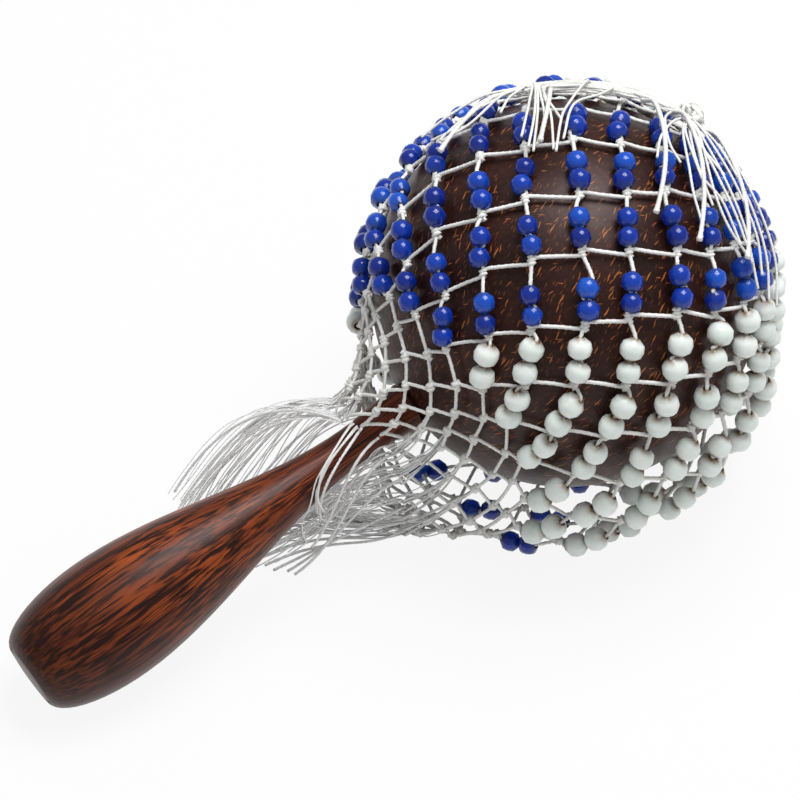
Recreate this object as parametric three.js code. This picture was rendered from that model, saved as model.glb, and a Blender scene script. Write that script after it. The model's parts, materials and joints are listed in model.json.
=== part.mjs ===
// Coconut shekere: a hollow coconut on a turned handle, in a loose net of cords and beads.
// Millimetres, +Z up. The instrument lies on the handle's belly and on the beads under the coconut.
import * as THREE from 'three';

const { degToRad, euclideanModulo, lerp, smoothstep } = THREE.MathUtils;

// Coconut shell
const shellRadius = 54;
const shellWall = 4;
const glueGap = 0.3;

// Turned handle, placed by how far its parts reach past the coconut
const tenonRadius = 5;
const tenonReach = 10;
const shoulderRadius = 7;
const neckRadius = 5.4;
const neckReach = 19.5;
const bellyRadius = 17.8;
const bellyReach = 102;
const buttRadius = 8.7;
const buttReach = 129;

// Cords and beads of the net
const cordCount = 16;
const cordRadius = 0.65;
const knotRadius = 1.25;
const blueBeadRadius = 3.05;
const whiteBeadRadius = 3.6;
const beadsPerCell = 2;
const netGap = 0.4;
const seatGap = 0.3;
const beadGap = 0.8;

// Courses of knots, counted from the crown: first the beaded ones, then the bare skirt at the neck
const beadedCourses = 11;
const skirtCourses = 6;
const crownAngle = degToRad(22);
const skirtAngle = degToRad(141.4);
const courseGrowth = 0.15;
const beadedTurn = degToRad(14.56);
const startCourse = 4;
const startTurn = degToRad(-14.65);
// The net sits a little askew, with its crown swung to the back
const netTilt = degToRad(4.9);

// Rows of one colour round the net, as they follow each other from the row above the start
const colourRows = [
  { colour: 'blue', rows: 5 },
  { colour: 'white', rows: 5 },
  { colour: 'blue', rows: 3 },
  { colour: 'white', rows: 3 },
];
const firstColourRow = -1;

// Slack of the net: it bags out under the coconut, most of all in its last courses
const netSlack = 9;
const slackCourses = 3;
const bagSlack = 6;
const bagCourse = 7;

// Skirt, whose edge is a loop that is drawn up at the neck and hangs down to the floor below it
const skirtTop = { lead: 18, reach: 16, y: 6, z: 8 };
const skirtBottom = { lead: 10, reach: 17, y: -3, z: -41 };
const skirtFrontWidth = 9;
const skirtBackWidth = 7;
const skirtBackDrop = 5;
const skirtSideLift = 7;
const skirtSag = 2;
const skirtFloorGap = 1.5;

// Gathered crown of the net
const drawcordRadius = 1.3;
const drawcordAngle = degToRad(10);
const crownKnotRadius = 3;
const crownKnotAt = { angle: degToRad(30), turn: degToRad(4) };
const skeinRadius = 1.8;
const skeinEnd = { angle: degToRad(71), turn: degToRad(-28) };
const skeinClearance = 7;
const tailRadius = 0.7;
const tailRise = 8;

// Fringe of loose ends at the neck: front locks hang before it, lower ones run under the handle
// and upper ones fall in an arch behind it
const fringeRadius = 1;
const fringeTipRadius = 0.7;
const fringeStart = 1.5;
const fringeSpring = 14;
const fringeRest = 1.3;
const fringeParting = degToRad(25);
const fringeFront = { reach: 33, run: -2, y: -9, height: 28, out: 8, crest: 12 };
const fringeLower = { reach: 43, run: 24, y: -6 };
const fringeUpper = { reach: 52, run: 13, y: 43, lift: 4, out: 10, crest: 28, inset: 6, over: 8 };

// Facets
const turnedFacets = 24;
const shellSteps = 12;
const beadedSides = 5;
const crossSides = 3;
const looseSides = 4;

// Heights of the net's layers over the shell: cross cords lie under the knots and the beads
const crossLift = netGap + cordRadius;
const knotLift = crossLift + cordRadius + netGap + knotRadius;
const beadLift = (radius) => beadGap + radius;
const netThickness = beadLift(whiteBeadRadius) + whiteBeadRadius;
const skirtThickness = knotLift + knotRadius + skirtFloorGap;
const tailLift = netThickness + netGap + tailRadius;
const crownKnotLift = knotLift + knotRadius + netGap + crownKnotRadius;
const skeinLift = knotLift + knotRadius + skeinRadius * Math.cos(Math.PI / beadedSides);

// Places along the axis, as distances from the coconut's centre
const neckDistance = shellRadius + neckReach;
const bellyDistance = shellRadius + bellyReach;
const buttDistance = shellRadius + buttReach;

const centreHeight = shellRadius + netThickness;
const edgeCourse = beadedCourses + skirtCourses;
const cordPitch = (2 * Math.PI) / cordCount;

const materials = {
  shell: new THREE.MeshStandardMaterial({ color: 0x3a201a, roughness: 0.35, metalness: 0 }),
  handle: new THREE.MeshStandardMaterial({ color: 0x7a3018, roughness: 0.3, metalness: 0 }),
  blue: new THREE.MeshStandardMaterial({ color: 0x1b3fb4, roughness: 0.25, metalness: 0 }),
  white: new THREE.MeshStandardMaterial({ color: 0xdfe6e0, roughness: 0.3, metalness: 0 }),
  cord: new THREE.MeshStandardMaterial({ color: 0xdcdcd2, roughness: 0.9, metalness: 0 }),
};

// Handle outline from the tenon to the butt, as radius and distance from the coconut's centre
function handleOutline() {
  const shoulderDistance = Math.sqrt(shellRadius ** 2 - tenonRadius ** 2) + glueGap;
  const outline = [
    [0, shellRadius - shellWall - tenonReach],
    [tenonRadius, shellRadius - shellWall - tenonReach],
    [tenonRadius, shoulderDistance],
    [shoulderRadius, shoulderDistance],
  ];
  const neckSteps = 3;
  for (let i = 1; i <= neckSteps; i += 1) {
    const t = i / neckSteps;
    const flare = (1 - t) ** 2;
    const distance = lerp(shoulderDistance, neckDistance, t);
    outline.push([neckRadius + (shoulderRadius - neckRadius) * flare, distance]);
  }
  const swellSteps = 7;
  for (let i = 1; i <= swellSteps; i += 1) {
    const distance = lerp(neckDistance, bellyDistance, i / swellSteps);
    const swell = smoothstep(distance, neckDistance, bellyDistance);
    outline.push([neckRadius + (bellyRadius - neckRadius) * swell, distance]);
  }
  const roundSteps = 5;
  for (let i = 1; i <= roundSteps; i += 1) {
    const sweep = (i / roundSteps) * (Math.PI / 2);
    const radius = buttRadius + (bellyRadius - buttRadius) * Math.cos(sweep);
    const distance = bellyDistance + (buttDistance - bellyDistance) * Math.sin(sweep);
    outline.push([radius, distance]);
  }
  outline.push([0, buttDistance]);
  return outline;
}

// Rise of the axis at which the handle's lowest point touches the floor
function restingRise() {
  const outline = handleOutline();
  const clearance = (rise) => Math.min(
    ...outline.map(([r, s]) => centreHeight - s * Math.sin(rise) - r * Math.cos(rise)),
  );
  let low = 0;
  let high = Math.PI / 4;
  for (let i = 0; i < 40; i += 1) {
    const middle = (low + high) / 2;
    if (clearance(middle) > 0) low = middle;
    else high = middle;
  }
  return low;
}

const rise = restingRise();
const upward = new THREE.Vector3(Math.sin(rise), 0, Math.cos(rise));

// A turned piece about the instrument's axis, +X towards the crown
function turned(outline) {
  const points = outline.map(([radius, along]) => new THREE.Vector2(radius, along));
  const geometry = new THREE.LatheGeometry(points, turnedFacets);
  geometry.rotateZ(-Math.PI / 2);
  return geometry;
}

function handleGeometry() {
  return turned(handleOutline().map(([radius, distance]) => [radius, -distance]).reverse());
}

// Outer wall from the neck hole to the crown, then the inner wall back
function shellGeometry() {
  const holeRadius = tenonRadius + glueGap;
  const innerRadius = shellRadius - shellWall;
  const wall = (radius) => {
    const rim = Math.asin(holeRadius / radius);
    return Array.from({ length: shellSteps + 1 }, (_, i) => {
      const angle = rim + (Math.PI - rim) * (i / shellSteps);
      const onAxis = i === shellSteps;
      return [onAxis ? 0 : radius * Math.sin(angle), -radius * Math.cos(angle)];
    });
  };
  const outer = wall(shellRadius);
  const inner = wall(innerRadius);
  return turned([...inner.reverse(), ...outer]);
}

// Direction from the coconut's centre, by polar angle from the net's crown and turn from the top
function direction(angle, turn) {
  const out = new THREE.Vector3(
    Math.cos(angle),
    -Math.sin(angle) * Math.sin(turn),
    Math.sin(angle) * Math.cos(turn),
  );
  return out.applyAxisAngle(new THREE.Vector3(0, 0, 1), netTilt);
}

function courseAngle(course) {
  const t = course / beadedCourses;
  return crownAngle + (skirtAngle - crownAngle) * (t - courseGrowth * t * (1 - t));
}

function pointOnShell(course, turn) {
  const out = direction(courseAngle(course), turn);
  const below = -out.dot(upward);
  const slack = netSlack * smoothstep(below, 0.05, 0.75) * smoothstep(course, 0, slackCourses);
  const bag = bagSlack * smoothstep(below, 0.45, 0.85) * smoothstep(course, bagCourse, beadedCourses);
  return out.multiplyScalar(shellRadius + slack + bag);
}

// The skirt swings from the shell to its edge loop and sags on the way
function pointOnSkirt(course, turn) {
  const t = (course - beadedCourses) / skirtCourses;
  const front = Math.sin(turn);
  const low = (1 - Math.cos(turn)) / 2;
  const side = front > 0 ? skirtFrontWidth : skirtBackWidth;
  const from = pointOnShell(beadedCourses, turn);
  const to = new THREE.Vector3(
    skirtSideLift * front ** 2 - shellRadius - lerp(skirtTop.reach, skirtBottom.reach, low),
    lerp(skirtTop.y, skirtBottom.y, low) - side * front,
    lerp(skirtTop.z, skirtBottom.z, low ** 2) - skirtBackDrop * Math.max(-front, 0),
  );
  const straight = to.clone().sub(from).normalize();
  const lead = direction(skirtAngle + Math.PI / 2, turn).lerp(straight, low);
  lead.multiplyScalar(lerp(skirtTop.lead, skirtBottom.lead, low)).add(from);
  const sag = skirtSag * low * (4 * t * (1 - t)) ** 2;
  const point = new THREE.QuadraticBezierCurve3(from, lead, to).getPoint(t);
  return point.addScaledVector(upward, -sag);
}

// Inner face of the net under a layer of one thickness, which lies flat where it meets the floor
function netFace(course, turn, thickness) {
  const onShell = course <= beadedCourses;
  const point = onShell ? pointOnShell(course, turn) : pointOnSkirt(course, turn);
  const toEdge = onShell ? 0 : (course - beadedCourses) / skirtCourses;
  const lowest = lerp(thickness, skirtThickness, toEdge);
  const height = centreHeight + point.dot(upward);
  return height < lowest ? point.addScaledVector(upward, lowest - height) : point;
}

function netNormal(course, turn, thickness) {
  const step = 0.05;
  const face = (courseStep, turnStep) => netFace(course + courseStep, turn + turnStep, thickness);
  const alongCourse = face(step, 0).sub(face(-step, 0));
  const alongTurn = face(0, step).sub(face(0, -step));
  return alongCourse.cross(alongTurn).normalize();
}

function netStation(course, turn, lift, radius, thickness = netThickness) {
  const out = netNormal(course, turn, thickness);
  return { at: netFace(course, turn, thickness).addScaledVector(out, lift), out, radius };
}

const netPoint = (course, turn, lift) => netStation(course, turn, lift, 0).at;

// A closed solid of rings round a line of stations, with one corner of each ring outwards
function sweptGeometry(stations, sides) {
  const positions = [];
  stations.forEach(({ at, out, radius }, i) => {
    const before = stations[Math.max(i - 1, 0)].at;
    const after = stations[Math.min(i + 1, stations.length - 1)].at;
    const along = after.clone().sub(before).normalize();
    const across = along.clone().cross(out).normalize();
    const normal = across.clone().cross(along);
    for (let j = 0; j < sides; j += 1) {
      const angle = (2 * Math.PI * j) / sides;
      const point = at.clone();
      point.addScaledVector(normal, radius * Math.cos(angle));
      point.addScaledVector(across, radius * Math.sin(angle));
      positions.push(...point.toArray());
    }
  });
  const indices = [];
  for (let i = 0; i + 1 < stations.length; i += 1) {
    for (let j = 0; j < sides; j += 1) {
      const a = i * sides + j;
      const b = i * sides + ((j + 1) % sides);
      indices.push(a, b, b + sides, a, b + sides, a + sides);
    }
  }
  const last = (stations.length - 1) * sides;
  for (let j = 1; j + 1 < sides; j += 1) {
    indices.push(0, j + 1, j, last, last + j, last + j + 1);
  }
  const geometry = new THREE.BufferGeometry();
  geometry.setAttribute('position', new THREE.Float32BufferAttribute(positions, 3));
  geometry.setIndex(indices);
  return geometry;
}

const beadedTurnAt = (cord, course) => (
  startTurn + cordPitch * cord + beadedTurn * (course - startCourse)
);
const crossTurnAt = (cord, course) => (
  startTurn + cordPitch * cord - (cordPitch - beadedTurn) * (course - startCourse)
);

// Beads of one colour fill whole rows between two cross cords
function beadColour(cord, course) {
  const row = euclideanModulo(cord + course - startCourse - firstColourRow, cordCount);
  let end = 0;
  const band = colourRows.find(({ rows }) => {
    end += rows;
    return row < end;
  });
  return band?.colour ?? 'white';
}

const beadRadius = { blue: blueBeadRadius, white: whiteBeadRadius };

// Colour of most of a cord's beads
function mainColour(cord) {
  const colours = Array.from({ length: beadedCourses }, (_, course) => beadColour(cord, course));
  const blues = colours.filter((colour) => colour === 'blue').length;
  return blues > beadedCourses / 2 ? 'blue' : 'white';
}

// Points over the shell from one direction to another, the shortest way and at one height over it
function overShell(from, to, lift, steps) {
  return Array.from({ length: steps + 1 }, (_, i) => {
    const out = from.clone().lerp(to, i / steps).normalize();
    return { at: out.clone().multiplyScalar(shellRadius + lift), out };
  });
}

const crownKnotOut = direction(crownKnotAt.angle, crownKnotAt.turn);
const skeinEndOut = direction(skeinEnd.angle, skeinEnd.turn);

// Cells under the crown knot and its skein hold no beads, so that these lie close to the shell
const skeinSteps = 8;
const skeinLine = overShell(crownKnotOut, skeinEndOut, skeinLift, skeinSteps);

function underSkein(cord, course) {
  const middle = netPoint(course + 0.6, beadedTurnAt(cord, course + 0.6), beadLift(whiteBeadRadius));
  return skeinLine.some(({ at }) => at.distanceTo(middle) < skeinClearance + skeinRadius);
}

// Least distance from a cell's beads to the cords on both sides
function cellWidth(cord, course) {
  const beadAt = (side, share) => (
    netPoint(course + share, beadedTurnAt(cord + side, course + share), beadLift(whiteBeadRadius))
  );
  const beads = [0.3, 0.65, 1].map((share) => beadAt(0, share));
  const sideShares = Array.from({ length: 9 }, (_, i) => i / 4 - 0.5);
  const beside = [-1, 1].flatMap((side) => sideShares.map((share) => beadAt(side, share)));
  return Math.min(...beads.flatMap((bead) => beside.map((other) => bead.distanceTo(other))));
}

// Rings of one beaded cell, from its knot at the crown side to the last bead
function beadedCell(cord, course) {
  const place = (share, lift, radius, thickness) => (
    netStation(course + share, beadedTurnAt(cord, course + share), lift, radius, thickness)
  );
  const stations = [place(0, knotLift, knotRadius)];
  if (underSkein(cord, course)) return [...stations, place(0.5, knotLift, cordRadius)];
  const start = stations[0].at;
  const end = place(1, knotLift, knotRadius).at;
  const length = start.distanceTo(end);
  const room = cellWidth(cord, course) / 2 - netGap;
  const radius = Math.min(beadRadius[beadColour(cord, course)], Math.max(room, cordRadius * 2));
  const beadLength = Math.min(2 * radius, (length - 2 * knotRadius) / beadsPerCell);
  const onBead = (along, ringRadius) => (
    place(along / length, beadLift(radius), ringRadius, beadLift(radius) + radius)
  );
  const endShoulder = 0.28;
  for (let i = 0; i < beadsPerCell; i += 1) {
    const from = length - knotRadius - beadLength * (beadsPerCell - i);
    if (i > 0) stations.push(onBead(from, knotRadius));
    stations.push(onBead(from + endShoulder * beadLength, radius));
    stations.push(onBead(from + (1 - endShoulder) * beadLength, radius));
  }
  return stations;
}

// Course at which the cords stop short of the drawcord
function crownEnd(lift) {
  const reach = shellRadius + lift;
  const stop = drawcordAngle + (drawcordRadius + cordRadius + netGap) / reach;
  const courseStep = courseAngle(1) - courseAngle(0);
  return (stop - crownAngle) / courseStep;
}

function beadedCordGeometry(cord) {
  const turnAt = (course) => beadedTurnAt(cord, course);
  const begin = crownEnd(knotLift);
  const stations = [netStation(begin, turnAt(begin), knotLift, cordRadius)];
  for (let course = 0; course < beadedCourses; course += 1) {
    stations.push(...beadedCell(cord, course));
  }
  for (let course = beadedCourses; course < edgeCourse; course += 1) {
    stations.push(netStation(course, turnAt(course), knotLift, knotRadius));
    stations.push(netStation(course + 0.5, turnAt(course + 0.5), knotLift, cordRadius));
  }
  stations.push(netStation(edgeCourse, turnAt(edgeCourse), knotLift, knotRadius));
  return sweptGeometry(stations, beadedSides);
}

function crossCordGeometry(cord) {
  const turnAt = (course) => crossTurnAt(cord, course);
  const begin = crownEnd(crossLift);
  const stations = [netStation(begin, turnAt(begin), crossLift, cordRadius)];
  for (let course = 0; course < edgeCourse; course += 0.5) {
    stations.push(netStation(course, turnAt(course), crossLift, cordRadius));
  }
  stations.push(netStation(edgeCourse, turnAt(edgeCourse), crossLift, cordRadius));
  return sweptGeometry(stations, crossSides);
}

function drawcordGeometry() {
  const reach = shellRadius + netGap + drawcordRadius;
  const loop = reach * Math.sin(drawcordAngle);
  const ring = new THREE.TorusGeometry(loop, drawcordRadius, beadedSides, turnedFacets);
  ring.rotateY(Math.PI / 2);
  ring.translate(reach * Math.cos(drawcordAngle), 0, 0);
  ring.rotateZ(netTilt);
  return ring;
}

function crownKnotGeometry() {
  const knot = new THREE.IcosahedronGeometry(crownKnotRadius, 1);
  const at = crownKnotOut.clone().multiplyScalar(shellRadius + crownKnotLift);
  knot.translate(...at.toArray());
  return knot;
}

// Direction to the skein's line, by its share of the way from the crown knot to the skein's end
const alongSkein = (share) => crownKnotOut.clone().lerp(skeinEndOut, share).normalize();

// The skein starts beside the crown knot and ends over the top of the coconut
function skeinGeometry() {
  const length = skeinLine[0].at.distanceTo(skeinLine[skeinSteps].at);
  const start = alongSkein((crownKnotRadius + seatGap) / length);
  const line = overShell(start, skeinEndOut, skeinLift, skeinSteps);
  return sweptGeometry(line.map((place) => ({ ...place, radius: skeinRadius })), beadedSides);
}

// Loose ends that leave the crown knot or the skein and lie over the beads
const tails = [
  { leaves: 0, width: crownKnotRadius, to: direction(degToRad(58), degToRad(61)) },
  { leaves: 0.16, width: skeinRadius, to: direction(degToRad(68), degToRad(46)) },
  { leaves: 0.32, width: skeinRadius, to: direction(degToRad(73), degToRad(33)) },
  { leaves: 0.8, width: skeinRadius, to: direction(degToRad(82), degToRad(-1)) },
  { leaves: 0.97, width: skeinRadius, to: direction(degToRad(96), degToRad(-21)) },
];

function tailGeometry({ leaves, width, to }) {
  const from = alongSkein(leaves);
  const tailSteps = 9;
  const length = from.distanceTo(to) * (shellRadius + skeinLift);
  const start = (width + seatGap) / length;
  const stations = Array.from({ length: tailSteps + 1 }, (_, i) => {
    const t = lerp(start, 1, (i / tailSteps) ** 1.5);
    const lift = lerp(skeinLift, tailLift, smoothstep(t, start, start + tailRise / length));
    const out = from.clone().lerp(to, t).normalize();
    return { at: out.clone().multiplyScalar(shellRadius + lift), out, radius: tailRadius };
  });
  return sweptGeometry(stations, looseSides);
}

// Turn of a beaded cord's last knot, from -180 to 180 degrees, 0 at the top and positive in front
function edgeTurn(cord) {
  const turn = beadedTurnAt(cord, edgeCourse);
  return euclideanModulo(turn + Math.PI, 2 * Math.PI) - Math.PI;
}

// A place given by level distances from the coconut's centre and a height over the floor
function overFloor(x, y, height) {
  const place = new THREE.Vector3(x, y, height - centreHeight);
  return place.applyAxisAngle(new THREE.Vector3(0, 1, 0), rise);
}

// Middle line of the loose ends past one edge knot, in order round the neck from the parting at
// the upper front
const fringeSteps = 6;

function fringeLine(cord) {
  const turn = edgeTurn(cord);
  const order = euclideanModulo(turn - fringeParting, 2 * Math.PI) / (2 * Math.PI);
  const front = 1 - smoothstep(order, 0.06, 0.14);
  const upper = smoothstep(order, 0.55, 0.9);
  const over = fringeUpper.over * smoothstep(order, 0.93, 1);
  const knot = netPoint(edgeCourse, turn, knotLift);
  const before = netPoint(edgeCourse - 0.5, turn - beadedTurn / 2, knotLift);
  const onward = knot.clone().sub(before).normalize();
  const begin = knot.clone().addScaledVector(onward, seatGap);
  const leave = begin.clone().addScaledVector(onward, fringeStart);
  const level = new THREE.Vector3(-Math.cos(rise), 0, Math.sin(rise));
  const lead = leave.clone().addScaledVector(level, fringeSpring);
  lead.addScaledVector(upward, fringeUpper.lift * upper + over);
  lead.y += fringeUpper.out * upper - fringeFront.out * front;
  const blend = (key, lower) => lerp(lerp(lower, fringeUpper[key], upper), fringeFront[key], front);
  const reach = shellRadius + blend('reach', fringeLower.reach);
  const acrossFloor = lerp(fringeLower.y, fringeUpper.y, order ** 1.3);
  const endY = lerp(acrossFloor, fringeFront.y, front);
  const height = lerp(fringeRest, fringeFront.height, front);
  const crest = height + blend('crest', 0) + over;
  const drop = overFloor(blend('run', fringeLower.run) - reach, endY - fringeUpper.inset * upper, crest);
  const end = overFloor(-reach, endY, height);
  return [begin, ...new THREE.CubicBezierCurve3(leave, lead, drop, end).getPoints(fringeSteps)];
}

function fringeGeometry(cord) {
  const stations = fringeLine(cord).map((at, i) => {
    const thinning = i === 0 ? 1 : ((i - 1) / fringeSteps) ** 2;
    return { at, out: upward, radius: lerp(fringeRadius, fringeTipRadius, thinning) };
  });
  return sweptGeometry(stations, looseSides);
}

// Assembly along the instrument's axis, laid on the floor
const instrument = new THREE.Group();
instrument.rotation.y = -rise;

function add(name, geometry, material) {
  const mesh = new THREE.Mesh(geometry, material);
  mesh.name = name;
  instrument.add(mesh);
}

const numbered = (name, index) => `${name}_${String(index + 1).padStart(2, '0')}`;

add('coconut_shell', shellGeometry(), materials.shell);
add('handle', handleGeometry(), materials.handle);
add('crown_drawcord', drawcordGeometry(), materials.cord);
add('crown_knot', crownKnotGeometry(), materials.cord);
add('crown_skein', skeinGeometry(), materials.cord);
tails.forEach((tail, i) => add(numbered('crown_tail', i), tailGeometry(tail), materials.cord));
for (let cord = 0; cord < cordCount; cord += 1) {
  add(numbered('beaded_cord', cord), beadedCordGeometry(cord), materials[mainColour(cord)]);
  add(numbered('cross_cord', cord), crossCordGeometry(cord), materials.cord);
  add(numbered('fringe', cord), fringeGeometry(cord), materials.cord);
}

// The origin is under the middle of the whole instrument, on the floor
const shekere = new THREE.Group();
shekere.add(instrument);
shekere.updateMatrixWorld(true);
const box = new THREE.Box3().setFromObject(shekere, true);
const middle = box.getCenter(new THREE.Vector3());
instrument.position.set(-middle.x, -middle.y, -box.min.z);

export default shekere;
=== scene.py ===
# %% [markdown]
# # A coconut shekere
# A shekere is a shaker. A hollow coconut sits on a turned wooden handle and wears a loose net of
# twine with a pair of beads in every mesh, and the beads slap the shell when it is shaken.
# The CAD model gives the sizes and the hinge between the shell and the net. This lesson dresses it
# with real twine, beads, knots and loose ends, in the same frame and in metres.

# %% Load the frame
import json
import math
import random

import bmesh
import bpy
import numpy as np
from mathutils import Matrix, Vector, noise


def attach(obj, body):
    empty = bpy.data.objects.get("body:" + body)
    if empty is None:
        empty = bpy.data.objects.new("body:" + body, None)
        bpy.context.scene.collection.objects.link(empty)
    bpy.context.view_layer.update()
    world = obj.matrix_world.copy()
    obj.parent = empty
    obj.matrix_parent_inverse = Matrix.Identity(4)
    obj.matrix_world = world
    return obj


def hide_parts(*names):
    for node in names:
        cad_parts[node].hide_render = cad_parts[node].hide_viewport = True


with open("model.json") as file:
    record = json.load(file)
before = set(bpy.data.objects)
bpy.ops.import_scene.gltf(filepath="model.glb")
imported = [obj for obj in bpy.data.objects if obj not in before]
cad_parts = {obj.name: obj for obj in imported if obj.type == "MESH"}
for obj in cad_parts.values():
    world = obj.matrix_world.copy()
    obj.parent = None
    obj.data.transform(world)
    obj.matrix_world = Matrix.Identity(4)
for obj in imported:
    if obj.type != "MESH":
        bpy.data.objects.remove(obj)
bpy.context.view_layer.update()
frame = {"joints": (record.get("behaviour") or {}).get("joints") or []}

MM = 0.001

# %% [markdown]
# The handle points down to the floor, so the whole instrument leans. The hinge of the net gives the
# coconut's middle and the axis, and everything is laid out in millimetres from there: the first
# number runs along the axis to the crown, the second away from the viewer, the third to the top.

# %% Axis of the instrument
turn_joint = frame["joints"][0]
CENTRE = np.array(turn_joint["pos_m"]) / MM
CROWN = np.array(turn_joint["axis"])
CROWN /= np.linalg.norm(CROWN)
BEHIND = np.array([0.0, 1.0, 0.0])
TOP = np.cross(CROWN, BEHIND)
AXES = np.column_stack([CROWN, BEHIND, TOP])
UPWARD = np.array([CROWN[2], 0.0, TOP[2]])
RISE = math.asin(CROWN[2])


def to_world(points):
    """Millimetres from the coconut's middle, along its axis, become metres in the room."""
    return (CENTRE + np.asarray(points) @ AXES.T) * MM


print("axis rises", round(math.degrees(RISE), 2), "degrees, middle at", CENTRE.round(2), "mm")

# %% [markdown]
# The camera comes before the pieces, because it decides which side gets the closest look. A long
# lens from 1.6 m away keeps the coconut round, as in the photograph.

# %% Camera
PHOTO_WIDTH = 800
MM_PER_PIXEL = 0.2778
COCONUT_IN_PHOTO = (565.3, 293.0)
VIEW_AZIMUTH = math.radians(-33.5)
VIEW_ELEVATION = math.radians(47.25)
VIEW_DISTANCE = 1600
SENSOR = 36

sin_a, cos_a = math.sin(VIEW_AZIMUTH), math.cos(VIEW_AZIMUTH)
sin_e, cos_e = math.sin(VIEW_ELEVATION), math.cos(VIEW_ELEVATION)
view_right = np.array([cos_a, sin_a, 0])
view_up = np.array([-sin_a * sin_e, cos_a * sin_e, cos_e])
view_back = np.array([sin_a * cos_e, -cos_a * cos_e, sin_e])
across = (PHOTO_WIDTH / 2 - COCONUT_IN_PHOTO[0]) * MM_PER_PIXEL
upward = (COCONUT_IN_PHOTO[1] - PHOTO_WIDTH / 2) * MM_PER_PIXEL
aim = CENTRE + view_right * across + view_up * upward

lens = bpy.data.cameras.new("photo_camera")
lens.sensor_width = SENSOR
lens.lens = SENSOR * VIEW_DISTANCE / (PHOTO_WIDTH * MM_PER_PIXEL)
camera = bpy.data.objects.new("photo_camera", lens)
bpy.context.scene.collection.objects.link(camera)
camera.location = (aim + view_back * VIEW_DISTANCE) * MM
camera.rotation_euler = (math.pi / 2 - VIEW_ELEVATION, 0, VIEW_AZIMUTH)
bpy.context.scene.camera = camera
print("lens", round(lens.lens), "mm")

# %% [markdown]
# ## Plan of the net
# Sixteen beaded cords wind from the crown to the neck and sixteen bare cords cross them. Every
# crossing is a knot, and the knots lie in courses round the coconut. The net hugs the shell on top,
# bags out underneath, and hangs as an open skirt round the neck. A surface that is written as a
# function of course and turn keeps every cord, knot and bead in step.

# %% Sizes of the net
SHELL_RADIUS = 54
CORDS = 16
PITCH = 2 * math.pi / CORDS
BEADED_COURSES = 11
SKIRT_COURSES = 6
EDGE = BEADED_COURSES + SKIRT_COURSES
CROWN_ANGLE = math.radians(22)
SKIRT_ANGLE = math.radians(141.4)
COURSE_GROWTH = 0.15
BEADED_TURN = math.radians(14.56)
START_COURSE = 4
START_TURN = math.radians(-14.65)
NET_TILT = math.radians(4.9)
NET_SLACK, SLACK_COURSES, SLACK_BELOW = 9, 3, (0.05, 0.75)
BAG_SLACK, BAG_COURSE, BAG_BELOW = 6, 7, (0.45, 0.85)
SKIRT_LEAD = (18, 10)
SKIRT_REACH = (16, 17)
SKIRT_Y = (6, -3)
SKIRT_Z = (8, -41)
SKIRT_FRONT, SKIRT_BACK = 9, 7
SKIRT_BACK_DROP = 5
SKIRT_SIDE_LIFT = 7
SKIRT_SAG = 2
NET_LAYER = 8.0
SKIRT_LAYER = 6.1
CENTRE_HEIGHT = SHELL_RADIUS + NET_LAYER
KNOT_LIFT = 2.3
CROSS_LIFT = 1.7
print(CORDS, "cords of each kind,", round(math.degrees(PITCH), 1), "degrees apart")


# %% Helpers for smooth shapes
def smoothstep(x, low, high):
    """A soft step from 0 at low to 1 at high."""
    t = np.clip((x - low) / (high - low), 0, 1)
    return t * t * (3 - 2 * t)


def mix(a, b, t):
    return a + (b - a) * t


def unit(vectors):
    return vectors / np.linalg.norm(vectors, axis=-1, keepdims=True)


print("a soft step reaches", float(smoothstep(0.25, 0, 1)), "after a quarter of its way")


# %% Surface of the net
def direction(angle, turn):
    """Unit arrow from the coconut's middle: angle from the net's crown, turn from top to front."""
    angle, turn = np.broadcast_arrays(np.asarray(angle, float), np.asarray(turn, float))
    ahead, aside = np.cos(angle), -np.sin(angle) * np.sin(turn)
    cos_t, sin_t = math.cos(NET_TILT), math.sin(NET_TILT)
    return np.stack([cos_t * ahead - sin_t * aside, sin_t * ahead + cos_t * aside,
                     np.sin(angle) * np.cos(turn)], axis=-1)


def course_angle(course):
    t = course / BEADED_COURSES
    return CROWN_ANGLE + (SKIRT_ANGLE - CROWN_ANGLE) * (t - COURSE_GROWTH * t * (1 - t))


def on_shell(course, turn):
    """The beaded part of the net, slack where it hangs below the coconut."""
    out = direction(course_angle(course), turn)
    below = -(out @ UPWARD)
    slack = NET_SLACK * smoothstep(below, *SLACK_BELOW) * smoothstep(course, 0, SLACK_COURSES)
    bag = BAG_SLACK * smoothstep(below, *BAG_BELOW) * smoothstep(course, BAG_COURSE, BEADED_COURSES)
    return out * (SHELL_RADIUS + slack + bag)[..., None]


def on_skirt(course, turn):
    """The bare part of the net, from the last beads to its edge round the neck."""
    t = ((course - BEADED_COURSES) / SKIRT_COURSES)[..., None]
    front, low = np.sin(turn), (1 - np.cos(turn)) / 2
    begin = on_shell(np.full_like(course, BEADED_COURSES), turn)
    end = np.stack([
        SKIRT_SIDE_LIFT * front ** 2 - SHELL_RADIUS - mix(*SKIRT_REACH, low),
        mix(*SKIRT_Y, low) - np.where(front > 0, SKIRT_FRONT, SKIRT_BACK) * front,
        mix(*SKIRT_Z, low ** 2) - SKIRT_BACK_DROP * np.maximum(-front, 0),
    ], axis=-1)
    heading = mix(direction(SKIRT_ANGLE + math.pi / 2, turn), unit(end - begin), low[..., None])
    lead = begin + heading * mix(*SKIRT_LEAD, low)[..., None]
    sag = SKIRT_SAG * low[..., None] * (4 * t * (1 - t)) ** 2
    return (1 - t) ** 2 * begin + 2 * t * (1 - t) * lead + t ** 2 * end - UPWARD * sag


print("beads reach", round(math.degrees(course_angle(BEADED_COURSES)), 1), "degrees from the crown")


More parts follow.
